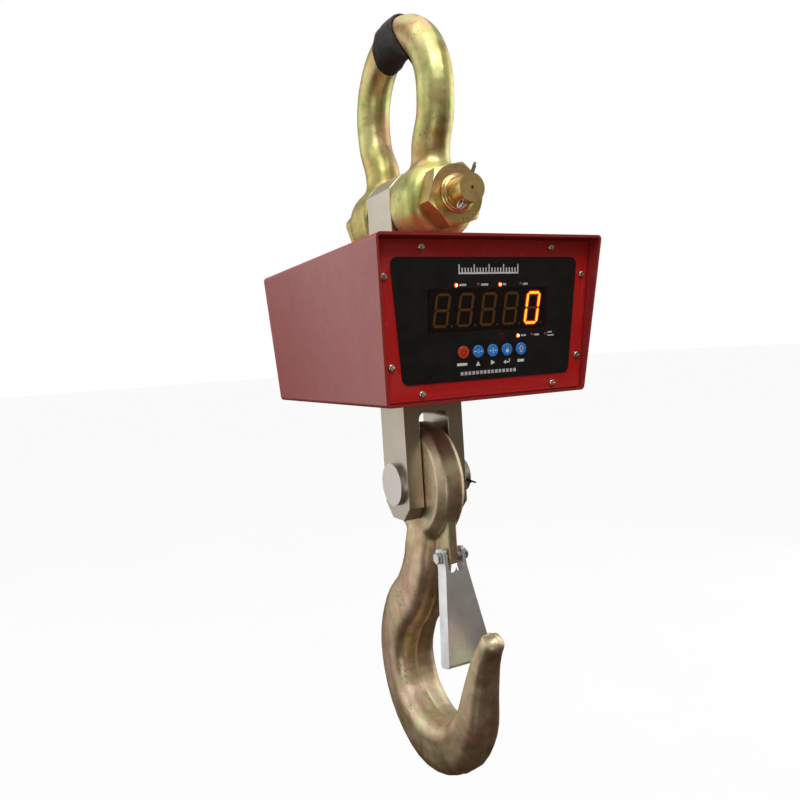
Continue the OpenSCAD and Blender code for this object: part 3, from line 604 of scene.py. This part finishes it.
def extent(node, axis):
    along = [v.co.dot(axis) for v in NODES[node].data.vertices]
    return min(along), max(along)


def middle(node, axis):
    return sum(extent(node, axis)) / 2


PANEL_FACE = extent("panel_overlay", INTO)[0]
PANEL_TOP = extent("panel_overlay", UP)[1]


def on_panel(x, drop, depth):
    """x across, drop below the membrane's top edge, depth behind its face, all in millimetres."""
    return RIGHT * x * MM + UP * (PANEL_TOP - drop * MM) + INTO * (PANEL_FACE + depth * MM)


def drop_of(node):
    return (PANEL_TOP - middle(node, UP)) / MM


# ---------------------------------------------------------------- forgings, fittings and sheet metal

def near(value, centre, half):
    """1 at the centre, falling to 0 at `half` from it."""
    return max(0.0, 1 - abs(value - centre) / half)


def rising(value, over):
    """0 up to nothing, then rising to 1 at `over`."""
    return min(1, max(0, value / over))


LEG_JOIN = BOLT_Z + 50 * MM
BAR_FROM = BOLT_Z + 60 * MM
HOOK_NECK = HOOK_Z - 78 * MM
HOOK_BOWL = HOOK_Z - 125 * MM
HOOK_TIP = HOOK_Z - 172 * MM
HOOK_FRONT = extent("hook_body", ALONG_BOLT)[0]
NECK_FRONT = -36 * MM


def bow_joins(co):
    return min(1.0, 1.6 * near(co.z, LEG_JOIN, 46 * MM))


def bow_ridge(co):
    return 0.5 * MM * rising(co.z - BAR_FROM, 20 * MM)


def hook_joins(co):
    neck = near(co.z, HOOK_NECK, 40 * MM) if co.y > NECK_FRONT else 0.0
    tip = min(1.0, 2 * near(co.z, HOOK_TIP, 30 * MM)) if co.y < HOOK_FRONT + 50 * MM else 0.0
    return max(neck, tip)


def hook_ridge(co):
    return 1.1 * MM * rising(HOOK_BOWL - co.z, 30 * MM)


def build_forgings():
    forged("shackle_bow", 2.2, 6, bow_joins, 90, 1.6 * MM, bow_ridge)
    forged("hook_body", 2.0, 4, hook_joins, 36, 0.0, hook_ridge)


BOW_TURN_R = 88 * MM
BAR_AND_SLEEVE = 26 * MM
RIPPLE = 0.11 * MM


def build_sleeve():
    """The rubber sleeve, rippled lengthwise where it was wrapped round the bar."""
    obj = piece("bow_sleeve_rubber", copy_of("bow_sleeve"), "bow_sleeve")
    r = obj.modifiers.new("remesh", "REMESH")
    r.mode = "VOXEL"
    r.voxel_size = 1.1 * MM
    obj.modifiers.new("relax", "SMOOTH").iterations = 3
    apply_modifiers(obj)
    rng = np.random.default_rng(7)
    waves = [(rng.uniform(60, 190), rng.uniform(0, 6.28), rng.uniform(0.4, 1.6)) for _ in range(6)]
    turn_z = cad_bounds[1].z - BOW_TURN_R - BAR_AND_SLEEVE
    for v in obj.data.vertices:
        round_bar = math.atan2(v.co.x, math.hypot(v.co.y, v.co.z - turn_z) - BOW_TURN_R)
        along = math.atan2(v.co.y, v.co.z - turn_z)
        wave = sum(math.sin(f * along * 0.35 + p + a * math.sin(3 * round_bar)) for f, p, a in waves)
        v.co += v.normal * RIPPLE * wave
    smooth_faces(obj, 180)


THREAD_ROOT = 21.2 * MM
THREAD_CREST = 22.9 * MM
THREAD_PITCH = 3.0 * MM
THREAD_PAST_NUT = 4.7 * MM
BOLT_SHANK = 23.5 * MM


def build_bolt():
    """The shackle bolt: CAD body with the thread cut down to its root, and a real thread over it."""
    nut_front, nut_back = extent("shackle_nut", ALONG_BOLT)
    thread_end = nut_front - THREAD_PAST_NUT
    obj = machined("shackle_bolt", 0.5)
    for v in obj.data.vertices:
        r = math.hypot(v.co.x, v.co.z - BOLT_Z)
        if thread_end - 2 * MM < v.co.y < nut_back - 1.5 * MM and THREAD_ROOT < r < BOLT_SHANK:
            v.co.x *= THREAD_ROOT / r
            v.co.z = BOLT_Z + (v.co.z - BOLT_Z) * THREAD_ROOT / r
    sides, steps = 96, 6
    turns = int((nut_back - thread_end) / THREAD_PITCH)
    bm = bmesh.new()
    rows = []
    for i in range(turns * steps + 1):
        height = 1 - abs(2 * ((i / steps) % 1.0) - 1)
        row = []
        for k, a in enumerate(circle(sides)):
            along = (i / steps + k / sides) * THREAD_PITCH
            y = thread_end + min(along, turns * THREAD_PITCH)
            fade = min(1.0, along / THREAD_PITCH)
            r = THREAD_ROOT + (THREAD_CREST - THREAD_ROOT) * height * fade
            row.append(bm.verts.new((r * math.cos(a), y, BOLT_Z + r * math.sin(a))))
        rows.append(row)
    for j in range(len(rows) - 1):
        for k in range(sides):
            if k < sides - 1:
                bm.faces.new((rows[j][k], rows[j][k + 1], rows[j + 1][k + 1], rows[j + 1][k]))
            elif j + steps + 1 < len(rows):
                bm.faces.new((rows[j][k], rows[j + steps][0], rows[j + steps + 1][0], rows[j + 1][k]))
    thread = piece("shackle_bolt_thread", mesh_from(bm, "shackle_bolt_thread"), "shackle_bolt", hide=False)
    smooth_faces(thread, 60)


def split_pin(node, centre, axis, eye_axis, low, high, wire_r, eye_r, bend):
    """A split pin: a coiled eye `low` behind the centre, two legs through the hole to `high`, one end bent."""
    axis, eye_axis = Vector(axis).normalized(), Vector(eye_axis).normalized()
    across = axis.cross(eye_axis).normalized()
    centre, bend = Vector(centre), Vector(bend)
    gap = across * wire_r * 0.9
    long_leg, short_leg = centre + gap, centre - gap
    legs = [[long_leg - axis * low, long_leg, long_leg + axis * (high - 6 * MM),
             long_leg + axis * (high - 2 * MM), long_leg + axis * high + bend],
            [short_leg - axis * low, short_leg, short_leg + axis * (high - 9 * MM),
             short_leg + axis * (high - 4 * MM)]]
    # The legs take the dark steel: painted shade on the same wire as the eye.
    wire(node + "_legs", node, legs, wire_r, PIN_SHADED_STEEL)
    turns, per_turn = 2.3, 18
    eye = centre - axis * (low + eye_r * 0.7)
    coil = []
    for k in range(int(turns * per_turn) + 1):
        a = 2 * math.pi * k / per_turn
        coil.append(eye + (axis * math.cos(a) + across * math.sin(a)) * eye_r
                    + eye_axis * (k / per_turn - turns / 2) * wire_r * 1.9)
    wire(node + "_eye", node, [coil], wire_r * 0.85, hide=False, steps=2)


def build_pins():
    lo, hi = (Vector(c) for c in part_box("shackle_cotter"))
    turn = math.radians(24)
    split_pin("shackle_cotter", (0, (lo.y + hi.y) / 2, BOLT_Z), (math.sin(turn), 0, math.cos(turn)),
              (math.cos(turn), 0, -math.sin(turn)), 17 * MM, 33.5 * MM, 1.6 * MM, 4.0 * MM,
              (0.6 * MM, 0, 0.4 * MM))
    lo, hi = (Vector(c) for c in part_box("pin_cotter"))
    turn = math.radians(100)
    split_pin("pin_cotter", ((lo.x + hi.x) / 2, 0, HOOK_Z), (0, -math.sin(turn), math.cos(turn)), RIGHT,
              27.5 * MM, 36 * MM, 1.25 * MM, 4.2 * MM, (2 * MM, -4 * MM, -1 * MM))


def build_spring():
    """The two coils of the latch spring, either side of the hook's lug."""
    lo, hi = (Vector(c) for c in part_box("latch_spring"))
    coil_r, wire_r, clear, beside_lug = 5.6 * MM, 0.95 * MM, 1 * MM, 7.6 * MM
    turns, per_turn = 2.6, 14
    paths = []
    for x0, x1 in ((lo.x + clear, -beside_lug), (beside_lug, hi.x - clear)):
        coil = []
        for k in range(int(turns * per_turn) + 1):
            t = k / per_turn
            a = 2 * math.pi * t
            coil.append((x0 + (x1 - x0) * t / turns, LATCH_AT.y + coil_r * math.cos(a),
                         LATCH_AT.z + coil_r * math.sin(a)))
        paths.append(coil)
    wire("latch_spring_coils", "latch_spring", paths, wire_r, steps=2)


# Each machined or folded piece, with the round on its edges in millimetres.
FITTINGS = (
    ("shackle_nut", 0.6), ("load_cell", 0.9), ("housing_shell", 0.5), ("front_panel", 0.35), ("rear_panel", 0.35),
    ("battery_cover", 0.45), ("cover_gasket", 0.4), ("hook_pin", 0.9), ("pin_washer", 0.5), ("latch_bolt", 0.35),
    ("latch_nut", 0.35), ("latch_plate", 0.7), ("panel_overlay", 0.12), ("front_screws", 0.12),
    ("rear_screws", 0.12), ("cover_thumbscrews", 0.25), ("upper_seal", 0.6), ("lower_seal", 0.6),
    ("charger_socket", 0.3), ("upper_bracket", 0.4), ("lower_bracket", 0.4))


def build_fittings():
    for node, bevel in FITTINGS:
        machined(node, bevel)


# ---------------------------------------------------------------- display

def bar(x0, x1, drop0, drop1):
    return [(x0, drop0), (x1, drop0), (x1, drop1), (x0, drop1)]


def stroke(points, width):
    """Square-ended strokes along a line of points, one outline for each part."""
    out = []
    for (x0, y0), (x1, y1) in zip(points, points[1:]):
        length = math.hypot(x1 - x0, y1 - y0)
        nx, ny = -(y1 - y0) / length * width / 2, (x1 - x0) / length * width / 2
        ex, ey = (x1 - x0) / length * width / 2, (y1 - y0) / length * width / 2
        out.append([(x0 + nx - ex, y0 + ny - ey), (x1 + nx + ex, y1 + ny + ey),
                    (x1 - nx + ex, y1 - ny + ey), (x0 - nx - ex, y0 - ny - ey)])
    return out


def arc(cx, cy, rx, ry, a0, a1, width, n=14):
    return stroke([(cx + rx * math.cos(math.radians(a0 + (a1 - a0) * k / n)),
                    cy - ry * math.sin(math.radians(a0 + (a1 - a0) * k / n))) for k in range(n + 1)], width)


def print_on(name, node, outlines, low, high, material, x=0.0, drop=0.0):
    """Raised or printed shapes on the panel, from depth `low` out to depth `high`, moved by x and drop."""
    bm = bmesh.new()
    for outline in outlines:
        top = [bm.verts.new(on_panel(px + x, py + drop, high)) for px, py in outline]
        bottom = [bm.verts.new(on_panel(px + x, py + drop, low)) for px, py in outline]
        bm.faces.new(top)
        bm.faces.new(bottom[::-1])
        for k in range(len(outline)):
            n = (k + 1) % len(outline)
            bm.faces.new((top[k], top[n], bottom[n], bottom[k]))
    return piece(name, mesh_from(bm, name), node, material, hide=False)


DIGIT_HEIGHT = 37.0
DIGIT_HALF_W = 8.0
DIGIT_SLANT = math.radians(9)
DIGIT_CASE = (14.5, 22.2)
SEGMENT_THICK = 3.0
SEGMENT_GAP = 1.0
POINT_AT = (11.9, 17.2)
POINT_R = 1.2
CROSS_BAR = 1
NOUGHT = (0, 2, 3, 4, 5, 6)


def segment(length, upright, thick):
    h, t = length / 2, thick / 2
    outline = [(-h, 0), (-h + t, t), (h - t, t), (h, 0), (h - t, -t), (-h + t, -t)]
    return [(y, x) for x, y in outline] if upright else outline


def digit_segments(thick, grow=0.0):
    """The seven slanted bars of a digit: top, middle, bottom, then the four uprights."""
    half = DIGIT_HEIGHT / 2 - SEGMENT_THICK / 2
    places = [(0, -half, False), (0, 0, False), (0, half, False),
              (-DIGIT_HALF_W, -half / 2, True), (DIGIT_HALF_W, -half / 2, True),
              (-DIGIT_HALF_W, half / 2, True), (DIGIT_HALF_W, half / 2, True)]
    out = []
    for cx, cy, upright in places:
        length = (half if upright else 2 * DIGIT_HALF_W) - SEGMENT_GAP + grow
        pts = [(cx + px, cy + py) for px, py in segment(length, upright, thick + grow)]
        out.append([(px - py * math.tan(DIGIT_SLANT), py) for px, py in pts])
    return out


def build_display():
    """Five digits behind the window, the last one lit as a nought: a halo of painted glow spread onto the digit
    body, a rim and a core; the unlit bars glow faintly with painted light too.
    """
    behind = (extent("display_window", INTO)[1] - PANEL_FACE) / MM
    base = behind + 1.2
    half_w, half_h = DIGIT_CASE
    bars = digit_segments(2.9)
    point = [(POINT_AT[0] + POINT_R * math.cos(a), POINT_AT[1] + POINT_R * math.sin(a)) for a in circle(20)]
    for n in range(1, 6):
        node = f"digit_{n}"
        at = (middle(node, RIGHT) / MM, drop_of(node))
        case = print_on(node + "_case", node, [bar(-half_w, half_w, -half_h, half_h)], behind + 6, behind + 1.1,
                        DIGIT_BODY, *at)
        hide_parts(node)
        if n < 5:
            # The unlit bars glow faintly with painted light.
            print_on(node + "_bars", node, bars + [point], base, behind + 0.7, MATERIALS["digit_unlit"], *at)
            continue
        # The nought's cross bar and point also glow faintly with painted light.
        print_on(node + "_unlit_bar", node, [bars[CROSS_BAR], point], base, behind + 0.8,
                 MATERIALS["digit_unlit"], *at)
        # The halo layer reaches past the lit segments: painted glow, not a lamp.
        for layer, thick, grow, rise, material in (("_halo", 3.4, 3.0, 0.95, GLOW_HALO),
                                                   ("_rim", 3.3, 0.9, 0.7, GLOW_RIM),
                                                   ("_core", 2.7, -0.3, 0.5, MATERIALS["digit_lit"])):
            shapes = digit_segments(thick, grow)
            print_on(node + layer, node, [shapes[k] for k in NOUGHT], base, behind + rise, material, *at)


def islands(node):
    """Each separate body of a CAD node, as its centre in the panel's x and drop, and its half width."""
    bm = bmesh.new()
    bm.from_mesh(NODES[node].data)
    bmesh.ops.remove_doubles(bm, verts=bm.verts, dist=WELD)
    seen, out = set(), []
    for v in bm.verts:
        if v in seen:
            continue
        stack, group = [v], []
        seen.add(v)
        while stack:
            w = stack.pop()
            group.append(w.co.copy())
            for e in w.link_edges:
                o = e.other_vert(w)
                if o not in seen:
                    seen.add(o)
                    stack.append(o)
        xs = [c.x for c in group]
        us = [c.dot(UP) for c in group]
        out.append(((min(xs) + max(xs)) / 2 / MM, (PANEL_TOP - (min(us) + max(us)) / 2) / MM,
                    (max(xs) - min(xs)) / 2 / MM))
    bm.free()
    return sorted(out)


def dome(name, node, x, drop, radius, rise, depth, material=None):
    """A lamp's round top, `rise` high, its rim at `depth` behind the membrane's face."""
    steps = 7
    profile = [(radius * MM, -2.0 * MM), (radius * MM, 0.0)]
    for k in range(1, steps):
        a = math.radians(90 * k / steps)
        profile.append((radius * math.cos(a) * MM, rise * math.sin(a) * MM))
    profile.append((0.0, rise * MM))
    lathe(name, node, profile, on_panel(x, drop, depth), -INTO, 40, material)


def build_lamps():
    for i, (x, drop, r) in enumerate(islands("lit_leds"), 1):
        dome(f"lit_leds_{i}", "lit_leds", x, drop, r, 0.9, 0.15, LED_RIM)
        dome(f"lit_leds_{i}_core", "lit_leds", x, drop, r * 0.62, 0.7, -0.35, MATERIALS["led_on"])
    for i, (x, drop, r) in enumerate(islands("dim_leds"), 1):
        dome(f"dim_leds_{i}", "dim_leds", x, drop, r, 0.9, 0.15, MATERIALS["led_off"])
    dome("remote_window_lens", "remote_window", middle("remote_window", RIGHT) / MM, drop_of("remote_window"),
         4.3, 0.25, 0.1)


ARROW_W = 0.7
ARROW_HALF = 1.2


def facing_arrows(shaft_end, head_from, head_to):
    """Two arrows that point at each other."""
    out = stroke([(-5.2, 0), (-shaft_end, 0)], ARROW_W) + stroke([(5.2, 0), (shaft_end, 0)], ARROW_W)
    return out + [[(side * head_from, -ARROW_HALF), (side * head_to, 0), (side * head_from, ARROW_HALF)]
                  for side in (-1, 1)]


# The mark on each key, in millimetres from the key's centre.
KEY_ICONS = {
    "key_power": arc(0, 0.2, 2.9, 2.9, 125, 415, 0.75) + stroke([(0, -3.6), (0, -0.4)], 0.75),
    "key_zero": arc(0, 0, 1.25, 2.0, 0, 360, 0.65, 20) + facing_arrows(3.6, 3.7, 2.3),
    "key_tare": stroke([(0, -2.4), (0, 2.4)], 0.9) + facing_arrows(3.2, 3.3, 1.7),
    "key_lock": [bar(-2.1, 2.1, -0.2, 3.2)] + arc(0, -0.4, 1.35, 2.2, 0, 180, 0.7),
    "key_up": stroke([(0, -3.8), (3.0, -0.6), (1.3, -0.6), (1.3, 3.4), (-1.3, 3.4), (-1.3, -0.6), (-3.0, -0.6),
                      (0, -3.8)], 0.65),
}


def key_profile(radius):
    """Half outline of a key in millimetres: stem, flange, rounded edge and a slightly crowned top."""
    edge = 0.9
    shoulder = -edge * 0.75
    profile = [(2.9, -6.0), (2.9, -1.2), (radius - 0.3, -1.2), (radius, -1.0), (radius, shoulder)]
    for k in range(1, 7):
        a = math.radians(90 * k / 6)
        profile.append((radius - edge + edge * math.cos(a), shoulder + 0.55 * math.sin(a)))
    for k in range(1, 4):
        r = (radius - edge) * (1 - k / 4)
        profile.append((r, -0.125 * (r / radius) ** 2))
    profile.append((0.0, 0.0))
    return profile


def build_keys():
    for key, icon in KEY_ICONS.items():
        lo, hi = extent(key, RIGHT)
        x, drop = (lo + hi) / 2 / MM, drop_of(key)
        top = (extent(key, INTO)[0] - PANEL_FACE) / MM
        profile = [(r * MM, along * MM) for r, along in key_profile((hi - lo) / 2 / MM)]
        lathe(key + "_cap", key, profile, on_panel(x, drop, top), -INTO, 56)
        print_on(key + "_mark", key, icon, top + 0.2, top - 0.05, PRINT_DARK if key == "key_power" else PRINT_KEY,
                 x, drop)


INK = (0.1, -0.06)
GRADUATIONS = 21
GRADUATION_PITCH = 3.85
LAMP_ROW = (28.9, 31.1)
LOWER_ROW = (86.9, 88.9)
KEY_ROW = 116.4
LEVEL_PITCH = 5.0


def build_print():
    """Plain marks printed on the membrane: a graduation, short bars, and arrows below the keys."""
    grad = [bar(-39.6, 38.6, 16.6, 18.4)]
    for k in range(GRADUATIONS):
        x = -38.8 + GRADUATION_PITCH * k
        grad.append(bar(x - 0.75, x + 0.75, 7.8 if k % 5 == 0 else 11.6, 17.0))
    print_on("panel_graduation", "panel_overlay", grad, *INK, PRINT_WHITE)
    bars = [bar(x0, x1, *LAMP_ROW) for x0, x1 in ((-38.6, -30.0), (-10.8, -1.6), (17.8, 22.2), (45.6, 51.4))]
    bars += [bar(x0, x1, *LOWER_ROW) for x0, x1 in ((42.2, 49.0), (60.8, 67.6))]
    bars += [bar(79.8, 86.2, 85.0, 86.6), bar(79.8, 89.0, 88.6, 90.2)]
    print_on("panel_lamp_bars", "panel_overlay", bars, *INK, PRINT_GREY)
    power, zero, tare, lock, up = (middle(key, RIGHT) / MM for key in KEY_ICONS)
    marks = [bar(power - 8.0, power + 5.0, KEY_ROW - 1.5, KEY_ROW + 1.5),
             [(zero, KEY_ROW - 2.7), (zero + 3.0, KEY_ROW + 2.6), (zero - 3.0, KEY_ROW + 2.6)],
             [(tare - 2.2, KEY_ROW - 2.9), (tare + 3.2, KEY_ROW), (tare - 2.2, KEY_ROW + 2.9)]]
    marks += stroke([(lock + 3.6, KEY_ROW - 2.4), (lock + 3.6, KEY_ROW + 0.6), (lock - 1.4, KEY_ROW + 0.6)], 1.3)
    marks += [[(lock - 4.8, KEY_ROW + 0.6), (lock - 1.2, KEY_ROW - 1.9), (lock - 1.2, KEY_ROW + 3.1)],
              bar(up - 4.5, up + 4.5, KEY_ROW - 1.5, KEY_ROW + 1.5)]
    print_on("panel_key_marks", "panel_overlay", marks, *INK, PRINT_WHITE)
    blocks = [bar(-38.5 + LEVEL_PITCH * k, -35.1 + LEVEL_PITCH * k, 124.6, 128.4) for k in range(15)]
    print_on("panel_level_bars", "panel_overlay", blocks, *INK, PRINT_GREY)


def paint_the_rest():
    """Gives every CAD node that still shows its own material."""
    for node, obj in NODES.items():
        if obj.hide_render:
            continue
        obj.data.materials.clear()
        obj.data.materials.append(MATERIALS[SLOT_OF[node]])
        for p in obj.data.polygons:
            p.material_index = 0


build_forgings()
build_sleeve()
build_bolt()
build_pins()
build_spring()
build_fittings()
build_display()
build_lamps()
build_keys()
build_print()
machined("display_window", 0.1)
paint_the_rest()


# ---------------------------------------------------------------- studio

def softbox(name, at, look_at, size, radiance):
    """A soft area light. `radiance` is what it looks like in a reflection."""
    data = bpy.data.lights.new(name, "AREA")
    data.shape = "RECTANGLE"
    data.size, data.size_y = size
    data.energy = radiance * math.pi * size[0] * size[1]
    obj = bpy.data.objects.new(name, data)
    bpy.context.scene.collection.objects.link(obj)
    obj.location = at
    obj.rotation_mode = "QUATERNION"
    obj.rotation_quaternion = (Vector(look_at) - Vector(at)).to_track_quat("-Z", "Y")


def make_floor(height):
    """A plain, nearly white floor that neither lights the object nor shows in it."""
    mesh = bpy.data.meshes.new("floor")
    bm = bmesh.new()
    bmesh.ops.create_grid(bm, x_segments=1, y_segments=1, size=40.0)
    bm.to_mesh(mesh)
    bm.free()
    floor = bpy.data.objects.new("floor", mesh)
    bpy.context.scene.collection.objects.link(floor)
    floor.location = (0, 0, height)
    s = Shader("floor_pale")
    s.put(Roughness=1.0, Emission_Color=(1, 1, 1, 1), Emission_Strength=0.93, Specular_IOR_Level=0.0)
    s.colour(s.mix(s.noise(3, 3, 0.5), (0.05, 0.05, 0.05), (0.07, 0.07, 0.07)))
    floor.data.materials.append(s.mat)
    floor.visible_diffuse = False
    floor.visible_glossy = False


# The surroundings as reflections see them, from straight down, 0, to straight up, 1.
SURROUNDINGS = ((0.0, (0.05, 0.036, 0.024)), (0.48, (0.085, 0.055, 0.032)), (0.64, (0.36, 0.34, 0.31)),
                (1.0, (0.46, 0.46, 0.46)))


def make_world():
    """White behind the object, and dark below and pale above in everything that it reflects."""
    world = bpy.data.worlds.new("studio")
    bpy.context.scene.world = world
    world.use_nodes = True
    nodes, link = world.node_tree.nodes, world.node_tree.links.new
    sky = nodes.new("ShaderNodeTexCoord")
    split = nodes.new("ShaderNodeSeparateXYZ")
    link(sky.outputs["Generated"], split.inputs["Vector"])
    height = nodes.new("ShaderNodeMapRange")
    height.inputs["From Min"].default_value = -1.0
    height.inputs["From Max"].default_value = 1.0
    link(split.outputs["Z"], height.inputs["Value"])
    ramp = nodes.new("ShaderNodeValToRGB")
    while len(ramp.color_ramp.elements) < len(SURROUNDINGS):
        ramp.color_ramp.elements.new(0.5)
    for element, (at, colour) in zip(ramp.color_ramp.elements, SURROUNDINGS):
        element.position = at
        element.color = (*colour, 1)
    link(height.outputs["Result"], ramp.inputs["Fac"])
    reflected = nodes["Background"]
    reflected.inputs["Strength"].default_value = 1.0
    link(ramp.outputs["Color"], reflected.inputs["Color"])
    seen = nodes.new("ShaderNodeBackground")
    seen.inputs["Color"].default_value = (1, 1, 1, 1)
    seen.inputs["Strength"].default_value = 1.0
    path = nodes.new("ShaderNodeLightPath")
    either = nodes.new("ShaderNodeMixShader")
    link(path.outputs["Is Camera Ray"], either.inputs["Fac"])
    link(reflected.outputs["Background"], either.inputs[1])
    link(seen.outputs["Background"], either.inputs[2])
    link(either.outputs["Shader"], nodes["World Output"].inputs["Surface"])


def make_studio():
    lo, hi = cad_bounds
    aim = (lo + hi) / 2
    make_floor(lo.z - 0.3)
    softbox("back_left", (-1.9, 1.5, -0.3), aim, (2.6, 2.8), 0.95)
    softbox("left", (-2.4, -0.5, 0.1), aim, (1.2, 2.0), 0.6)
    softbox("right", (2.1, 0.1, 0.0), aim, (1.8, 2.6), 1.5)
    softbox("top", (-0.2, 0.3, 1.6), aim, (2.4, 1.8), 1.2)
    softbox("front_key", (-0.3, -1.6, 1.6), (0, -0.15, -0.35), (1.9, 1.1), 4.4)
    softbox("front_low", (-1.3, -1.9, -1.0), (0, 0, -0.8), (1.1, 0.9), 1.7)
    make_world()
    bpy.context.scene.view_settings.view_transform = "Standard"


make_studio()
